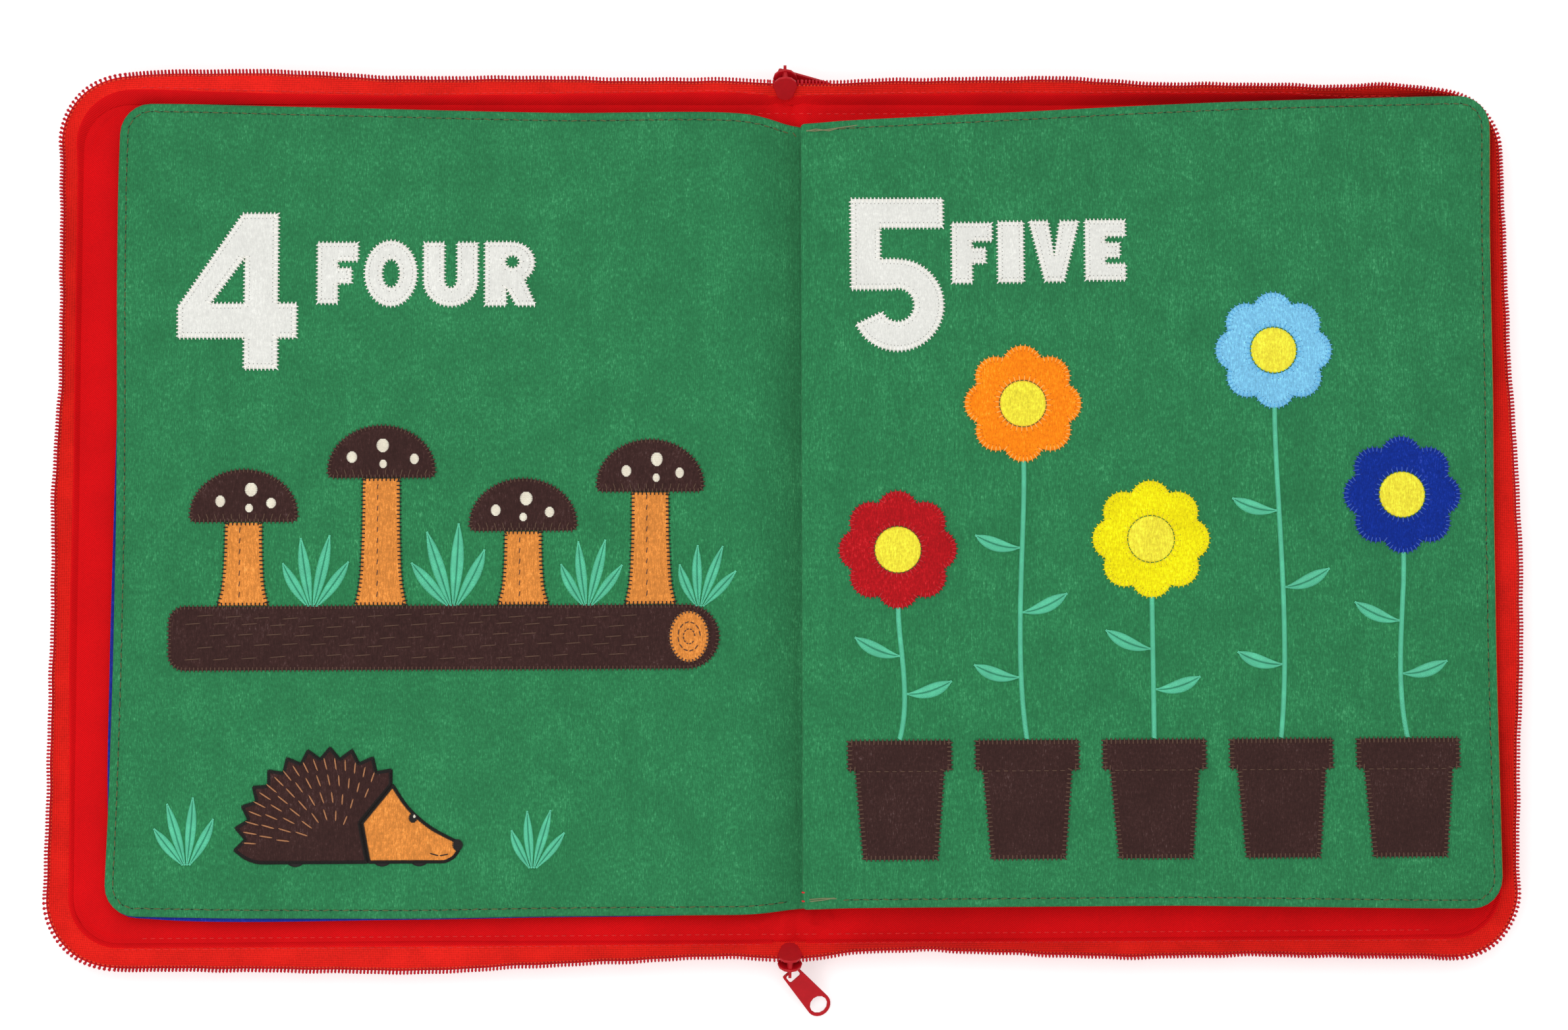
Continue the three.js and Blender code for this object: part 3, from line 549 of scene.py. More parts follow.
def make_page(page, fine):
    side = 1 if page in ("page_2", "page_4", "page_5", "page_7", "page_9") else -1
    rings = [0.35, 0.9, 2.4, STITCH_INSET, 4.4] if fine else [0.9, STITCH_INSET, 5.5]
    low, high = page_faces(page)
    thick = high - low

    def outer(points, away):
        groove, puff = 0.3 * ridge(away, STITCH_INSET, 0.75), 0.1 * ridge(away, 1.7, 0.8)
        edge = thick * EDGE_SOFT * (1 - rounded(away, 0.9))
        return leaf_height(points, page, side) - side * (edge + groove - puff)

    def inner(points, away):
        return leaf_height(points, page, side) - side * thick

    solid = sheet_solid([page_loop(page, 2.2 if fine else 5.0)], rings, 4.0 if fine else 12.0,
                        *((outer, inner) if side > 0 else (inner, outer)))
    piece = add_piece(f"{page}_felt", solid, f"felt_{PAGE_CODES[PAGES[page]]}", LEAF_OF[page],
                      [page], f"felt_{PAGES[page]}")
    flat_of(page)


# Threads by the body that they ride on and their name, until all shapes are made.
THREADS = {}


def gather(key, part):
    THREADS.setdefault(key, []).append(part)


def sew(key, paths, radius, sides=6, end=0.35):
    gather(key, tubes(paths, radius, sides, end))


def sew_on(page, name, flat, radius, arch=0.12, sink=0.5):
    """Threads that lie on a page's upper face. flat is (count, steps, 2)."""
    count, steps = flat.shape[:2]
    height = leaf_height(flat.reshape(-1, 2), page, 1).reshape(count, steps)
    share = np.linspace(-1, 1, steps) ** 4
    height = height - 0.2 + arch - (arch + sink) * share[None, :]
    sew((LEAF_OF[page], name), np.concatenate([flat, height[..., None]], 2), radius)


def page_stitches(page, pitch=4.0, length=3.1):
    """Running stitch round a leaf, with a dark dot of painted shade in the needle hole between each two
    stitches.
    """
    loop = page_loop(page, 2.0)
    spots, normals = evenly(loop, 1.0)
    line = spots + normals * STITCH_INSET
    keep = edge_distance(line, [loop]) > 0.97 * STITCH_INSET
    at, normal = evenly(line[keep], pitch)
    shown = ~((np.abs(at[:, 0] - GUTTER) < 7) & (np.abs(at[:, 1]) < GUTTER_SEWN))
    if page == "page_5":
        shown &= at[:, 0] > TACKS_END
    at, normal = at[shown], normal[shown]
    along = -left_of(normal)
    skew = np.random.default_rng(len(at)).normal(0, 0.12, len(at))
    offsets = np.array([-0.5, -0.28, 0.0, 0.28, 0.5]) * length
    sew_on(page, "olive", at[:, None] + along[:, None] * offsets[None, :, None]
           + normal[:, None] * (skew[:, None] * offsets)[:, :, None], 0.25)
    holes = at + along * pitch / 2
    pits = holes[:, None] + along[:, None] * np.array([-0.65, 0.0, 0.65])[None, :, None]
    # Short dark tubes in each needle hole: painted shade of the hole.
    sew_on(page, "needle", pits, 0.27, 0.02, 0.1)


def back_tacks():
    """Threads where the sewing starts and ends, by the gutter, and two that hold it."""
    tacks = [(spots, "olive_light", 0.26) for spots in (
        [(6.4, 159.6), (11.9, 159.2), (17.8, 159.9), (23.8, 160.8), (33, 162.2)],
        [(6.8, 158.8), (12.5, 160.0), (18, 159.3), (24.2, 161.2)],
        [(7.0, -156.4), (13.6, -155.9), (19.8, -156.1)], [(7.4, -157.2), (14, -156.5), (19, -155.6)])]
    tacks += [([(4.9, y), (6.0, y - 0.2)], "scarlet", 0.34) for y in (-153.4, -156.9)]
    for spots, name, radius in tacks:
        steps = np.linspace(0, len(spots) - 1, 4 * len(spots))
        flat = spread(steps, range(len(spots)), np.array(spots))
        sew_on("page_5", name, flat[None], radius, 0.2, 0.3)


# Felt shapes: thickness of the felt, how much higher it is in its middle, radius of a satin
# thread, and how far past a stitch its needle hole is.
FELT = 0.9
CROWN = 0.12
SATIN = 0.28
PIN_FAR = 0.35


def level(height):
    return lambda points, away: np.full(len(points), height)


def felt_shape(name, loops, page, finish, ground, thick=FELT, nodes=(), slot=None):
    """A flat felt shape with a soft edge, lying on a page."""

    def top(points, away):
        lift = thick * (0.3 + 0.7 * rounded(away, 0.8)) + CROWN * np.clip(away / 6, 0, 1)
        return ground + lift + 0.05 * swell(points, 30, len(name))

    solid = sheet_solid(loops, [0.3, 0.85, 2.0], 3.5, top, level(ground + 0.02))
    piece = add_piece(f"{name}_felt", solid, finish, LEAF_OF[page], nodes, slot)
    span = np.ptp(loops[0], axis=0) * MM
    area = abs(area_of(loops[0])) - sum(abs(area_of(hole)) for hole in loops[1:])


def cad_shape(node, page, finish, thick=FELT, slot=None):
    """The felt shape that stands for a CAD node, its outlines and the height it lies at."""
    loops = [flowing(loop, 1.3) for loop in loops_of(node)]
    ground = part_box(node)[0][2] / MM - 0.15
    felt_shape(node, loops, page, finish, ground, thick, [node], slot)
    return loops, ground


def edge_stitches(key, loops, ground, thick=FELT, pitch=1.6, reach=1.7, radius=0.33, hole_shade=None):
    """Stitches that cross the edge of a felt shape, with a dot of painted shade in the needle hole at
    each inner end.
    """
    for loop in loops:
        at, normal = evenly(loop, pitch)
        if loop is not loops[0]:
            normal = -normal
        heights = (0.05, 0.5 * thick, thick - 0.04, thick + 0.02, thick - 0.3)
        steps = (-0.75, -0.35, 0.35, reach * 0.75, reach)
        sew(key, threads(at, normal, steps, heights, ground), radius)
        if hole_shade:
            # A dark dot past each stitch: painted shade in its needle hole.
            gather((key[0], hole_shade), dots(at + normal * (reach + PIN_FAR), ground + thick + 0.17))


def dots(spots, height, radius=0.2):
    """Small flat diamonds of painted shade that read as needle holes."""
    ring = [(radius, 0, 0), (0, radius, 0), (-radius, 0, 0), (0, -radius, 0),
            (0, 0, 0.05), (0, 0, -0.05)]
    points = (columns(*spots.T, height)[:, None] + np.array(ring)).reshape(-1, 3)
    faces = [[base + corner for corner in face] for base in range(0, len(points), 6)
             for k in range(4) for face in ((k, (k + 1) % 4, 4), ((k + 1) % 4, k, 5))]
    return points, faces


def curve_of(spots, pitch):
    """Even points, directions and shares along a smooth curve through three or more spots."""
    spots = np.array(spots, float)
    knots, degree = np.linspace(0, 1, len(spots)), min(3, len(spots) - 1)
    fit = np.stack([np.polyval(np.polyfit(knots, side, degree), np.linspace(0, 1, 200))
                    for side in spots.T], 1)
    run = run_along(fit)
    at = np.linspace(0, run[-1], max(4, int(round(run[-1] / pitch))))
    points = spread(at, run, fit)
    return points, unit(np.gradient(points, axis=0)), at / run[-1]


def satin(key, spots, width, ground, slant=0.5, split=False):
    """Satin stitches side by side across a curve. width(share) is the half width. A split
    one has a vein, and its stitches slant up from it on both sides."""
    points, ahead, share = curve_of(spots, 0.5)
    half = width(share)[:, None]
    near = 0.12 if split else -half
    heights = (0.2, 0.5, 0.45, 0.05) if split else (0.05, 0.5, 0.5, 0.05)
    for side in ((1, -1) if split else (1,)):
        across = side * left_of(ahead)
        ways = across * (half - near) + ahead * slant * half
        sew(key, threads(points + across * near, ways, (0, 0.25, 0.75, 1), heights, ground),
            SATIN, 5, 0.6)
    if split:
        sew((key[0], "vein"), columns(*points.T, ground + 0.42)[None], 0.2, 5)


def leaf_width(half):
    return lambda share: half * np.sin(math.pi * np.clip(share, 0.02, 0.98)) ** 0.8


def outline_cord(key, loop, ground, half=1.125):
    """A close satin border over the edge of a felt shape."""
    at, normal = evenly(loop, 0.5)
    heights = (0.05, 0.6 * FELT, FELT + 0.08, FELT - 0.1)
    sew(key, threads(at, normal * half, (-0.5, -0.2, 0.5, 1.0), heights, ground), SATIN, 5)


def disc_satin(key, x, y, radius, height, flat=1.0, pitch=0.42):
    """A dot of parallel satin stitches."""
    rows = np.arange(-radius + pitch / 2, radius, pitch)
    half = np.sqrt(radius ** 2 - rows ** 2)
    sew(key, threads(columns(x, y + rows * flat), columns(half, 0), (-1, -0.5, 0.5, 1),
                     (-0.15, 0.12, 0.12, -0.15), height), 0.25, 5, 0.6)


def stitches(key, starts, ways, height, radius=0.24):
    """Straight stitches, one from each start along its way."""
    sew(key, threads(np.array(starts), np.array(ways), (0, 0.2, 0.8, 1),
                     (-0.2, 0.05, 0.05, -0.2), height), radius)


# Letters as shares of their width and height, in outline and holes.
def bow(x, y, across, up, start, finish, steps=12):
    angle = np.radians(np.linspace(start, finish, steps))
    return [(x + across * math.cos(a), y + up * math.sin(a)) for a in angle]


LETTERS = {
    "f": [[(0, 0), (0.5, 0), (0.5, 0.33), (0.84, 0.33), (0.84, 0.58), (0.5, 0.58),
           (0.5, 0.7), (1, 0.7), (1, 1), (0, 1)]],
    "i": [[(0, 0), (1, 0), (1, 1), (0, 1)]],
    "e": [[(0, 0), (1, 0), (1, 0.27), (0.5, 0.27), (0.5, 0.38), (0.86, 0.38), (0.86, 0.62),
           (0.5, 0.62), (0.5, 0.73), (1, 0.73), (1, 1), (0, 1)]],
    "v": [[(0.31, 0), (0.69, 0), (1, 1), (0.62, 1), (0.5, 0.42), (0.38, 1), (0, 1)]],
    "o": [bow(0.5, 0.5, 0.5, 0.5, 0, 348, 30), bow(0.5, 0.5, 0.17, 0.22, 0, 340, 18)],
    "u": [bow(0.5, 0.4, 0.5, 0.4, 180, 360, 18) + [(1, 1), (0.62, 1)]
          + bow(0.5, 0.42, 0.12, 0.14, 0, -180, 9) + [(0.38, 1), (0, 1)]],
    "r": [[(0, 0), (0.42, 0), (0.42, 0.28), (0.62, 0), (1.0, 0), (0.78, 0.4)]
          + bow(0.52, 0.68, 0.46, 0.32, -50, 90, 14) + [(0, 1)],
          bow(0.54, 0.69, 0.14, 0.1, 0, 340, 14)],
}
WORDS = {
    "page_4": [("f", -193.0, 88.2, 16.6, 25.2), ("o", -173.6, 87.0, 21.4, 27.2),
               ("u", -149.4, 87.0, 22.2, 26.4), ("r", -124.2, 87.2, 20.8, 26.4)],
    "page_5": [("f", 68.4, 95.6, 16.6, 25.0), ("i", 87.4, 95.9, 10.6, 25.2),
               ("v", 100.4, 96.2, 20.6, 25.2), ("e", 123.6, 96.8, 16.6, 25.0)],
}


def make_words():
    for page, letters in WORDS.items():
        ground = leaf_height(np.array([[side_of(page) * 120.0, 100.0]]), page, 1)[0]
        for number, (letter, x, y, width, height) in enumerate(letters, 1):
            loops = [flowing(np.array(loop) * (width, height) + (x, y), 1.3)
                     for loop in LETTERS[letter]]
            felt_shape(f"{page}_letter_{number}", loops, page, "felt_white", ground)
            edge_stitches((LEAF_OF[page], "white"), loops, ground, hole_shade="pin_grey", reach=1.4,
                          radius=0.3)


SHAPES = {"numeral_four": "white", "log": "brown", "hedgehog_coat": "brown",
          "hedgehog_face": "tan"}
for number in range(1, 5):
    SHAPES.update({f"mushroom_stem_{number}": "tan", f"mushroom_cap_{number}": "brown"})
# X and height of each stem.
MUSHROOMS = [(-222.3, 34), (-166.3, 52), (-108.3, 30), (-56.3, 46)]
LOG_TOP = -36.2
# Height of the log's cut end above the ground of the log, and its thickness.
LOG_END_UP, LOG_END_THICK = 0.95, 0.5
BARK, BLACK, CREAM = (("leaf_2", name) for name in ("brown_light", "black", "cream"))
POT_THREAD = ("leaf_3", "brown_light")
# Height of a mark on a felt shape, above the ground of the shape.
MARK = 1.02


def dress_left():
    for node, name in SHAPES.items():
        loops, ground = cad_shape(node, "page_4", f"felt_{name}")
        if name == "white":
            edge_stitches(("leaf_2", "white"), loops, ground, hole_shade="pin_grey")
        elif node.startswith("hedgehog"):
            outline_cord(BLACK, loops[0], ground)
        else:
            edge_stitches(BARK if name == "brown" else BLACK, loops, ground, pitch=1.7, reach=1.4,
                          radius=0.28)
    on_log(ground)
    on_mushrooms(ground)
    on_hedgehog(ground)
    for x, y, size, turn in ((-194, -37, 30, 4), (-137, -37, 34, -5), (-82, -37, 28, 6),
                             (-244, -141, 27, -4), (-104, -143, 24, 8), (-36, -37, 26, 12)):
        tuft(x, y, size, turn, ground - 0.05)


def tuft(x, y, size, turn, ground):
    """Four narrow blades that fan out from one root."""
    for angle, share in ((-38, 0.72), (-14, 0.95), (9, 1.0), (34, 0.78)):
        a = math.radians(90 - angle - turn)
        tip = np.array([x + size * share * math.cos(a), y + size * share * math.sin(a)])
        root = np.array([x + 0.4 * angle / 10, y])
        middle = (root + tip) / 2 + np.array([0.04 * size * angle / 30, 0.05 * size])
        satin(("leaf_2", "mint"), [root, middle, tip], leaf_width(2.3 * size / 30), ground, split=True)


def on_log(ground):
    """Bark lines, and a cut end with rings."""
    for row, y in enumerate((-57.5, -53.0, -49.0, -44.5, -41.0)):
        start = np.arange(-246 + 5 * (row % 3), -62, 11.5)
        wave = 0.8 * np.sin(start / 17 + row)
        stitches(BARK, columns(start, y + wave), (7.2, 0.5), ground + MARK)
    x, y, across, up = -40.5, -49.5, 8.0, 10.4
    ring = np.array(bow(x, y, across, up, 0, 350, 36))
    low = ground + LOG_END_UP
    felt_shape("log_end", [ring], "page_4", "felt_tan", low, LOG_END_THICK)
    edge_stitches(BARK, [ring], low, LOG_END_THICK, reach=1.0)
    for share in (0.3, 0.58):
        spots = np.array(bow(x, y, across * share, up * share, 0, 330, 12))
        stitches(BARK, spots[:-1], 0.8 * np.diff(spots, axis=0), ground + 1.6)


def on_mushrooms(ground):
    """Pale dots on each cap, gills along its lip and rungs up its stem."""
    for number, (x, stem) in enumerate(MUSHROOMS):
        low = LOG_TOP + stem + 0.3
        for across, up, size in ((-11, 8.4, 2.3), (1.5, 13.2, 2.8), (12, 7.6, 2.1), (1, 5.6, 1.7)):
            shift = 1.5 * math.sin(2.3 * number + across)
            disc_satin(CREAM, x + across + shift, low + up, size, ground + 0.98)
        starts = np.arange(x - 17.5, x + 18, 3.2)
        stitches(BARK, columns(starts, low + 1.0), columns(0.06 * (starts - x), 2.4), ground + MARK)
        rungs = np.arange(-33.0, low - 3, 4.4)
        stitches(BARK, columns(x - 1.6, rungs), (0.4, 2.6), ground + MARK, 0.2)


def on_hedgehog(ground):
    """Spines in rows over the coat, an eye, a nose, a mouth and feet."""
    starts, ways = [], []
    for row, radius in enumerate((9.0, 16.0, 23.0, 29.5)):
        count = 6 + 4 * row
        for k in range(count):
            angle = math.radians(52 + (k + 0.5 * (row % 2)) * (132 / count))
            way = np.array([math.cos(angle), math.sin(angle)])
            starts.append(way * radius + (-186.3, -132.5))
            ways.append((way + (-0.25, 0.1)) * 4.4)
    stitches(("leaf_2", "tan"), starts, ways, ground + 1.05, 0.3)
    disc_satin(BLACK, -152.6, -122.6, 1.9, ground + 1.0)
    disc_satin(BLACK, -134.6, -133.6, 2.3, ground + 1.0)
    disc_satin(CREAM, -152.0, -122.0, 0.55, ground + 1.3)
    mouth = np.array([(-138.0, -137.2), (-142.0, -138.0), (-146.0, -136.8)])
    stitches(BLACK, mouth[:-1], np.diff(mouth, axis=0), ground + 1.05)
    for x in (-200.0, -165.0, -150.0):
        disc_satin(BLACK, x, -140.6, 3.0, ground + 0.3, flat=0.45)


FLOWERS = {"red": (45, -14.5), "orange": (97, 45.5), "yellow": (149, -10.5),
           "light_blue": (201, 67.5), "blue": (253, 7.5)}
POT_TOP = -92.5


def dress_right():
    loops, ground = cad_shape("numeral_five", "page_5", "felt_white")
    edge_stitches(("leaf_3", "white"), loops, ground, hole_shade="pin_grey")
    for number, (name, (x, y)) in enumerate(FLOWERS.items(), 1):
        loops, ground = cad_shape(f"pot_{number}", "page_5", "felt_brown")
        edge_stitches(POT_THREAD, loops, ground, pitch=1.8, reach=1.9)
        starts = columns(np.arange(x - 16.5, x + 16, 3.3), POT_TOP - 12.4)
        stitches(POT_THREAD, starts, (2.2, 0), ground + MARK)
        stalk(x, y, number, ground - 0.05)
        loops, ground = cad_shape(f"flower_{number}", "page_5", f"felt_{name}")
        # Each flower's dark _pin colour is painted shade in the needle holes of its edge stitches.
        edge_stitches(("leaf_3", f"{name}_thread"), loops, ground, pitch=1.9, reach=1.9,
                      radius=0.26, hole_shade=f"{name}_pin")
        cad_shape(f"flower_centre_{number}", "page_5", "felt_centre", 0.6, "felt_yellow")


def stalk(x, y, number, ground):
    low, high = POT_TOP + 0.4, y - 22.5
    bend = 2.6 * math.sin(2.1 * number)
    spots = [(x, low), (x + bend, low + 0.35 * (high - low)),
             (x + 0.4 * bend, low + 0.7 * (high - low)), (x, high)]
    satin(("leaf_3", "mint"), spots, lambda share: np.full(len(share), 0.95), ground, slant=0.8)
    points, _, share = curve_of(spots, 1.0)
    places = (0.34, 0.62) if high - low < 90 else (0.22, 0.45, 0.68)
    for k, place in enumerate(places):
        way = 1 if (k + number) % 2 else -1
        root = spread([place], share, points)[0]
        tip = root + np.array([way * 19.0, 7.5 if k % 2 else 5.0])
        middle = (root + tip) / 2 + np.array([0, -1.6])
        satin(("leaf_3", "mint"), [root + (way * 1.0, 0), middle, tip], leaf_width(2.7), ground,
              split=True)


def make_threads():
    for (body, name), parts in THREADS.items():
        add_piece(f"stitches_{name}_{body}", merged(parts), f"thread_{name}", body)


# Case: half width and height of the line of the rim, and radius of its corners.
RIM_X, RIM_Y, RIM_R = 292.3, 174.3, 20.3
# The case cloth goes past that line by the lip.
LIP = 0.5
# The covers' zips begin at the tail and their cloths at the spine, in X.
TAIL, SPINE = 6.9, 12.3
# Straight of the head or foot, of the side, and the bend of one corner.
LONG, TALL, TURN = RIM_X - RIM_R - TAIL, 2 * (RIM_Y - RIM_R), RIM_R * TAU / 4
RIM_RUN = 2 * LONG + 2 * TURN + TALL
# Distance of the hem stitches from the rim, at the head and at the foot.
HEAD_HEM, FOOT_HEM = 5.6, 3.9
HEM_PITCH = 3.4
# Height of the lining over the spine and over the covers, and its thickness.
LINING_LOW, LINING_HIGH, LINING_THICK = 2.0, 4.95, 0.6


def smooth(value, low, high):
    share = np.clip((value - low) / (high - low), 0, 1)
    return share * share * (3 - 2 * share)


def rim_spots(run):
    """Places round the back cover's rim at a distance run from its head end, and the
    outward normals there."""
    bend = np.clip(run - LONG, 0, TURN) + np.clip(run - LONG - TURN - TALL, 0, TURN)
    angle = TAU / 4 - bend / RIM_R
    normals = columns(np.cos(angle), np.sin(angle))
    across = TAIL + np.minimum(run, LONG) - np.maximum(run - LONG - 2 * TURN - TALL, 0)
    down = np.clip(run - LONG - TURN, 0, TALL)
    return columns(across, RIM_Y - RIM_R - down) + RIM_R * normals, normals


def rim_distance(points):
    """How far inside the rim's outer edge each point lies. The spine side has no rim."""
    q = np.abs(points) - (RIM_X - RIM_R, RIM_Y - RIM_R)
    return RIM_R + LIP - np.linalg.norm(np.maximum(q, 0), axis=1) - np.minimum(q.max(1), 0)


def cover_outline(side, inset, spine, spacing=2.5):
    """A cover's outline, inset from the rim's outer edge and straight along the spine."""
    skip = spine - TAIL
    spots, normals = rim_spots(np.linspace(skip, RIM_RUN - skip, int(RIM_RUN / spacing)))
    line = spots + normals * (LIP - inset)
    up = np.linspace(line[-1][1], line[0][1], int(340 / spacing))[1:-1]
    loop = np.vstack([line, columns(spine, up)])
    loop[:, 0] *= side
    return loop if area_of(loop) > 0 else loop[::-1]


# Small folds of the lining: their place, direction and depth.
TUCKS = [(-283, 163, 0.95, -0.5), (-285, 158, 1.2, 0.3), (-284, -166, -0.6, -0.45),
         (-276, -168, -0.2, 0.35), (-14, -168, 0.5, 0.6), (14, -169, -0.35, 0.5),
         (-22, -166, 0.2, -0.5), (19, -165, -1.2, -0.5), (-6, -165, 1.0, -0.7),
         (9, -167, 0.7, -0.6), (-30, -169, -0.2, 0.4), (31, -167, 0.15, 0.4),
         (-60, -167, 0.1, 0.25), (70, -168, -0.1, -0.3), (-9, 167, -0.8, 0.4),
         (283, 165, -0.9, -0.4)]


def lining_height(points):
    """Top of the lining: low over the spine, and up against the zip at the rim."""
    d, x, y = rim_distance(points), points[:, 0], points[:, 1]
    rise = np.maximum(smooth(np.abs(x), 11, 30), smooth(np.abs(y), 152, 166))
    base = LINING_LOW + (LINING_HIGH - LINING_LOW) * rise
    wrinkle = 0.2 * swell(points, 70, 6) + 0.1 * swell(points, 27, 14)
    seam = np.where(y > 0, HEAD_HEM, FOOT_HEM)
    ends = smooth(np.abs(y), 150, 160)
    dent = 0.3 * ridge(d, seam, 0.8) * ends
    fold = (ridge(x, -2.5, 2.2) + 0.8 * ridge(x, 8.2, 2.4) - 0.9 * ridge(x, 2.8, 0.7)) * ends
    flat = base + wrinkle * smooth(d, 4, 12) + 0.3 * ridge(d, 2.6, 1.2) - dent + fold
    edge = 5.05 + 0.4 * smooth(y, 90, 165)
    tuck = sum(size * np.exp(-(((x - a) * math.cos(t) + (y - b) * math.sin(t)) / 7) ** 2
                             - (((y - b) * math.cos(t) - (x - a) * math.sin(t)) / 1.1) ** 2)
               for a, b, t, size in TUCKS)
    return flat + tuck + (edge - flat) * np.exp(-(d / 1.25) ** 4)


CASE_RINGS = [0.12, 0.3, 0.9, 1.1, 2.4, 4.0, 6.0]
# How far the case's underside rises at the rim, over what width, and the least thickness of
# its cloth.
CORNER_RISE, CORNER_WIDE, CLOTH = 2.6, 6, 0.35


def tray_low(points, away):
    """Underside of the case cloth."""
    return CORNER_RISE * (1 - rounded(rim_distance(points), CORNER_WIDE))


def lining_at(drop):
    return lambda points, away: lining_height(points) - drop


def make_cover(side):
    """Outer cloth, pad and lining of one cover."""
    which = "back" if side > 0 else "front"
    body = f"{which}_cover"
    flat = flat_of(f"{which}_shell")

    def tray_top(points, away):
        d = rim_distance(points)
        floor = np.maximum(1.0, tray_low(points, away) + CLOTH)
        return np.where(d < 0.95, RIM_TOP - 0.5 * (1 - rounded(d, 0.3)), floor)

    solid = sheet_solid([cover_outline(side, 0.0, SPINE)], CASE_RINGS, 14.0, tray_top, tray_low)
    piece = add_piece(f"{which}_case_cloth", solid, "twill_red", body, [f"{which}_shell"])

    def pad_top(points, away):
        soft = 1.2 + 2.7 * (0.35 + 0.65 * rounded(away, 4.0))
        return np.minimum(soft, lining_height(points) - 0.8)

    solid = sheet_solid([cover_outline(side, 1.6, SPINE + 3)], [0.6, 2.0, 4.0], 16.0, pad_top,
                        level(1.1))
    piece = add_piece(f"{which}_pad", solid, "wadding", body, [f"{which}_padding"])

    solid = sheet_solid([cover_outline(side, 0.74, SPINE - 0.2, 2.0)],
                        [0.35, 0.8, 1.3, 2.0, 2.8, 3.4, 3.9, 4.4, 5.0, 5.6, 6.2], 4.5,
                        lining_at(0), lining_at(LINING_THICK))
    piece = add_piece(f"{which}_lining_cloth", solid, "lining_red", body, [f"{which}_lining"])
    trim = add_piece(f"{which}_lining_edge", facing(side, np.linspace(0, RIM_RUN, 450)),
                     "lining_red", body)
    for first, last, inset in ((8, 255, HEAD_HEM), (RIM_RUN - 255, RIM_RUN - 8, FOOT_HEM)):
        spots, normals = rim_spots(np.arange(first, last, HEM_PITCH))
        spots = (spots + normals * (LIP - inset)) * (side, 1)
        gather((body, "hem"), hem(spots, -left_of(normals) * (1, side)))


def hem(spots, along):
    """Stitches on the lining, one at each spot."""
    paths = threads(spots, along * 2.4, (-0.5, -0.3, 0, 0.3, 0.5), (-0.25, 0.1, 0.16, 0.1, -0.25))
    paths[..., 2] += lining_height(paths[..., :2].reshape(-1, 2)).reshape(paths.shape[:2])
    return tubes(paths, 0.22)


# Zip: the plain lean of its wall, the height of its foot, how far up the wall the tape and
# the coil end, and the step from tooth to tooth.
LEAN = math.radians(35)
RIM_TOP = 5.5
TAPE_EDGE, COIL_HIGH = 9.9, 11.87
TOOTH_PITCH = 1.45
# Radius of a tooth's wire and of its head.
TOOTH_WIRE, TOOTH_HEAD = 0.35, 0.5
# How far the free edge of each cover's zip hangs outward of its plain lean, along the rim.
SWAY = {
    1: [(0, 0), (25, -0.5), (50, 0), (105, 1), (160, -1), (215, -1.5), (243, -0.5), (270, -3.5),
        (300, -1), (388, 0), (416, 1.5), (471, 2), (525, 0.5), (600, -2.5), (638, 1),
        (668, -0.5), (721, -2), (775, -1), (855, -4), (880, -3), (900, 0)],
    -1: [(0, 0), (18, 1), (45, 0.5), (100, 1), (154, 0.5), (209, 3.5), (250, 3), (281, 0.5),
         (305, -1.5), (387, -2), (442, 0), (495, -0.5), (575, 0), (601, 1), (697, 1.5),
         (763, 2.5), (803, 0.5), (883, -2), (900, 0)],
}
# How much further out the wall bellies, and how far out the lining's cloth covers its foot.
PUSH = {
    1: [(0, 0), (14, 0), (28, 1), (116, 1), (144, -0.5), (160, 0), (199, 0), (228, -1),
        (250, 0), (268, -1), (300, 0.5), (400, 1), (468, 2.5), (522, 2), (540, 1), (650, 0.5),
        (680, 1), (780, 1), (885, -0.5), (900, 0)],
    -1: [(0, 0), (21, 0.5), (62, 0.5), (89, 1), (150, 1), (198, 2), (252, 2), (303, 0.5),
         (398, 0), (439, 1), (480, 0.5), (519, 1), (641, 1), (760, 2), (840, 1), (893, 0)],
}
FACING = {
    1: [(0, 2), (73, 3), (212, 2.5), (238, 1.5), (600, 1), (622, 0.4)],
    -1: [(0, 2), (18, 3.4), (46, 3), (157, 2), (226, 3.5), (262, 4.5), (302, 1), (420, 1),
         (505, 1.5), (575, 0.5)],
}


def lean_of(run, place):
    """How far the wall leans, and how far it bellies, at each place along it."""
    if place not in SWAY:
        return np.full(len(run), LEAN), 0.0 * run
    slope = math.sin(LEAN) + eased(run, SWAY[place], 6.0) / COIL_HIGH
    return np.arcsin(np.clip(slope, 0.1, 0.92)), eased(run, PUSH[place], 6.0)


def wall_at(run, height, depth, place):
    """Points of the leaning zip wall at a height up it and a depth outward through it.
    place is 1 or -1 for a cover, and head or foot for the ends over the spine, where run
    is X."""
    if place in SWAY:
        spots, outward = rim_spots(run)
        fade = smooth(np.minimum(run, RIM_RUN - run), 4, 30)
        depth = depth + (0.2 * np.sin(run / 5.3 + place) + 0.14 * np.sin(run / 2.9)) * (
            fade * np.clip(height / 12, 0, 1))
    else:
        sign = 1.0 if place == "head" else -1.0
        spots, outward = columns(run, RIM_Y * sign), np.tile([0.0, sign], (len(run), 1))
    lean, push = lean_of(run, place)
    out = height * np.sin(lean) + depth * np.cos(lean) + push * smooth(height, 0, 6)
    up = RIM_TOP + height * np.cos(lean) - depth * np.sin(lean)
    placed = columns(*(spots + outward * out[:, None]).T, up)
    if place == -1:
        placed[:, 0] *= -1
    return placed


def wall_paths(centre, route, place):
    """Paths for tubes, through (step along, height, depth) round each place on the wall."""
    return np.stack([wall_at(centre + step, height, depth, place) for step, height, depth in route], 1)


def band(run, section, place):
    """A strip whose section is a closed list of (height, depth), swept along the rim."""
    rows = wall_paths(run, [(0, height, depth) for height, depth in section], place)
    faces = swept_faces(len(run), len(section))
    return rows.reshape(-1, 3), faces if place in (1, "head") else [face[::-1] for face in faces]


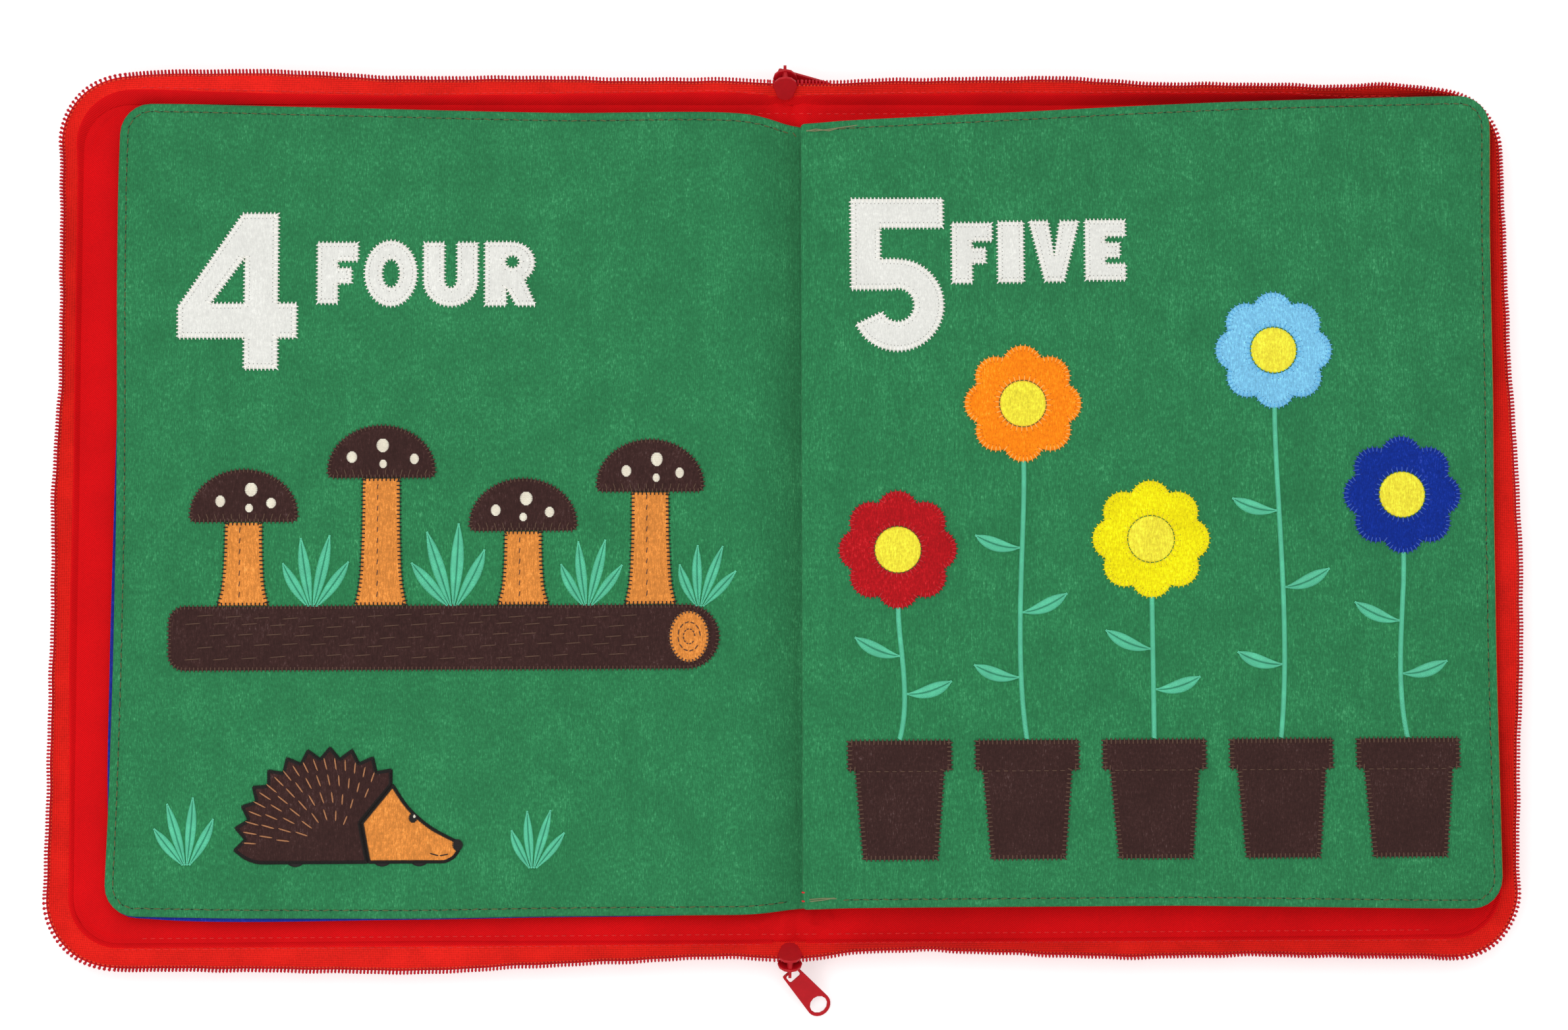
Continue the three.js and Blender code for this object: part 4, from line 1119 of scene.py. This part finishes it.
def facing_height(run, place):
    """How far up the wall the lining's cloth reaches."""
    lean, push = lean_of(run, place)
    return eased(run, FACING.get(place, [(0, 1.8)]), 8.0) / np.maximum(np.sin(lean) + push / 6, 0.45)


def facing(place, run):
    """The lining's cloth where it turns up the wall. Each row is a share of its height, an
    amount added to it and a depth."""
    high = facing_height(run, place)
    return band(run, [(share * high + more, depth) for share, more, depth in (
        (0, -1.0, -0.95), (0, 0, -0.86), (0.5, 0, -0.74), (0.85, 0, -0.66), (1, 0, -0.5),
        (1, 0.1, -0.25), (0.5, 0, -0.25), (0, -0.6, -0.25))], place)


def teeth(place, start, stop):
    """Zip coil: each tooth is a loop round the tape's edge with a head across its end."""
    centre = np.arange(start, stop, TOOTH_PITCH)
    loop = ((9.2, -0.4), (9.6, -0.66), (10.6, -0.72), (11.3, -0.55), (11.6, 0), (11.3, 0.55),
            (10.6, 0.72), (9.6, 0.66), (9.2, 0.4))
    loops = wall_paths(centre, [(0, height, depth) for height, depth in loop], place)
    heads = wall_paths(centre, [(step, 11.3, 0) for step in (-0.44, -0.2, 0.2, 0.44)], place)
    return merged([tubes(loops, TOOTH_WIRE), tubes(heads, TOOTH_HEAD, end=0.6)])


def zip_pieces(name, place, run, start, stop, nodes, body=None):
    """Tape, teeth and the row of sewing that holds them, on the side that faces inward."""
    rows = [-0.3, 0.6, 1.3, 2.0, 3.2, 5.0, 7.0, 8.6, TAPE_EDGE]
    half = 0.28
    tape = band(run, [(h, -half) for h in rows] + [(h, half) for h in rows[::-1]], place)
    centre = np.arange(start + TOOTH_PITCH / 2, stop, TOOTH_PITCH)
    beads = tubes(wall_paths(centre, [(step, 9.3, -0.42) for step in (-0.55, -0.2, 0.2, 0.55)],
                             place), 0.27)
    return [add_piece(f"{name}_{part}", solid, finish, body, node) for part, solid, finish, node in (
        ("tape", tape, "tape_red", nodes[:1]),
        ("teeth", teeth(place, start, stop), "coil_red", nodes[1:]),
        ("sewing", beads, "thread_tape", ()))]


def make_zip(side):
    which = "back" if side > 0 else "front"
    body = f"{which}_cover"
    tape = zip_pieces(f"{which}_zip", side, np.linspace(0, RIM_RUN, 600), 0.3, RIM_RUN - 0.3,
                      [f"{which}_tape", f"{which}_coil"], body)[0]
    for first in (3, RIM_RUN - 262):
        centre = np.arange(first, first + 258, 3.2)
        high = facing_height(centre, side) + 0.8
        route = ((-1.2, high, -0.2), (-0.6, high, -0.42), (0.6, high, -0.42), (1.2, high, -0.2))
        sew((body, "hem"), wall_paths(centre, route, side), 0.2)


def bending(piece):
    """A spine piece's place is baked into its mesh."""
    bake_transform(piece)
    return piece


def oblong(x, y, spacing=2.0):
    return flowing(np.array([(-x, -y), (x, -y), (x, y), (-x, y)]), spacing)


def make_spine():
    """Outer cloth, lining and zip ends across the spine."""

    def panel_top(points, away):
        y = np.abs(points[:, 1])
        floor = np.where(y > 173.8, RIM_TOP - 0.5 * (y > 174.7), 0.9)
        return np.maximum(floor, tray_low(points, away) + CLOTH)

    solid = sheet_solid([oblong(12.1, 174.8)], CASE_RINGS, 3.0, panel_top, tray_low)
    piece = bending(add_piece("spine_cloth", solid, "twill_red", nodes=["spine_panel"]))
    solid = sheet_solid([oblong(12.25, 174.06, 1.0)], [0.35, 0.8, 1.3, 2.0, 2.8, 3.9, 5.6], 1.3,
                        lining_at(0.03), lining_at(LINING_THICK))
    piece = bending(add_piece("spine_lining_cloth", solid, "lining_red", nodes=["spine_lining"]))
    trim = bending(add_piece("spine_lining_edge", facing("head", np.linspace(-7, 7, 15)), "lining_red"))
    xs = np.arange(-10.2, 11, HEM_PITCH)
    rows = [hem(columns(xs, y), np.array([1.0, 0.0]))
            for y in (RIM_Y + LIP - HEAD_HEM, FOOT_HEM - RIM_Y - LIP)]
    bending(add_piece("stitches_hem_spine", merged(rows), "thread_hem"))
    for place in ("head", "foot"):
        pieces = zip_pieces(f"zip_end_{place}", place, np.linspace(-TAIL - 0.1, TAIL + 0.1, 18),
                            -6.3, 6.8, [f"zip_tail_{place}"])
        for piece in pieces:
            bending(piece)


def make_binding():
    """The cloth strip that holds the leaves: a foot on the spine and a fin between them."""
    section = ((2.8, 2.9), (7.75, 2.9), (7.75, 14.5), (8.15, 14.5), (8.15, 2.9), (11.8, 2.9),
               (11.8, 2.3), (2.8, 2.3))
    ys = np.linspace(-147.5, 155.5, 90)
    points = [(x, y, z) for y in ys for x, z in section]
    piece = add_piece("binding_tape", (points, swept_faces(len(ys), len(section))), "lining_red",
                      "back_cover", ["binding_strip", "binding_foot"])


def carry_metal():
    """Sliders and pulls keep their CAD shape and get enamel."""
    for node in ("slider_head", "slider_foot", "pull_head", "pull_foot"):
        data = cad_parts[node].data
        data.materials.clear()
        data.materials.append(finish_of("slider_red"))


# Studio
# Lens and sensor in millimetres, places in metres, turn in radians.
LENS, SENSOR = 66.63, 36.0
CAMERA_AT, CAMERA_TURN = (-0.0327, -0.0996, 1.2), (0.0840, -0.0259, -0.0053)
# Place and power of each lamp, a disc of one size.
LAMPS = {"key": ((-0.1, 0.42, 1.45), 7.2), "fill": ((-0.6, -0.85, 1.1), 4.8)}
LAMP_SIZE = 1.2
# Light from all round, and light of the floor that only the camera and reflections see.
SKY, GLOW = 0.66, 0.42
FLOOR_REACH, FLOOR_LOW = 4.0, -0.0004


def make_camera():
    data = bpy.data.cameras.new("camera")
    data.lens = LENS
    data.sensor_width = SENSOR
    data.clip_start, data.clip_end = 0.05, 20
    camera = show("camera", data)
    camera.location = CAMERA_AT
    camera.rotation_euler = Euler(CAMERA_TURN, "XYZ")
    bpy.context.scene.camera = camera


def make_studio():
    scene = bpy.context.scene
    scene.view_settings.view_transform = "Standard"
    scene.world = bpy.data.worlds.new("studio")
    scene.world.use_nodes = True
    back = scene.world.node_tree.nodes["Background"].inputs
    back["Color"].default_value = (1, 1, 1, 1)
    back["Strength"].default_value = SKY
    for name, (place, power) in LAMPS.items():
        light = bpy.data.lights.new(name, "AREA")
        light.shape = "DISK"
        light.size = LAMP_SIZE
        light.energy = power
        lamp = show(name, light)
        lamp.location = place
        lamp.rotation_mode = "QUATERNION"
        lamp.rotation_quaternion = (-Vector(place)).to_track_quat("-Z", "Y")
    mesh = bpy.data.meshes.new("floor")
    corners = ((-1, -1), (1, -1), (1, 1), (-1, 1))
    mesh.from_pydata([(x * FLOOR_REACH, y * FLOOR_REACH, FLOOR_LOW) for x, y in corners], [],
                     [(0, 1, 2, 3)])
    show("floor", mesh)
    made = Shader("floor", 1.0, 0, 0, 0)
    rays = made.node("LightPath").outputs
    seen = rays["Is Camera Ray"]
    for kind in ("Is Glossy Ray", "Is Transmission Ray"):
        seen = made.math("MAXIMUM", seen, rays[kind])
    made.set(made.surface, {"Base Color": (0.75, 0.75, 0.75, 1), "Emission Color": (1, 1, 1, 1),
        "Emission Strength": made.math("MULTIPLY", seen, GLOW)})
    mesh.materials.append(made.material)


make_camera()
make_studio()
for page in PAGES:
    make_page(page, page in ("page_4", "page_5"))
page_stitches("page_4")
page_stitches("page_5")
back_tacks()
dress_left()
dress_right()
make_words()
for side in (1, -1):
    make_cover(side)
    make_zip(side)
make_spine()
make_binding()
make_threads()
carry_metal()
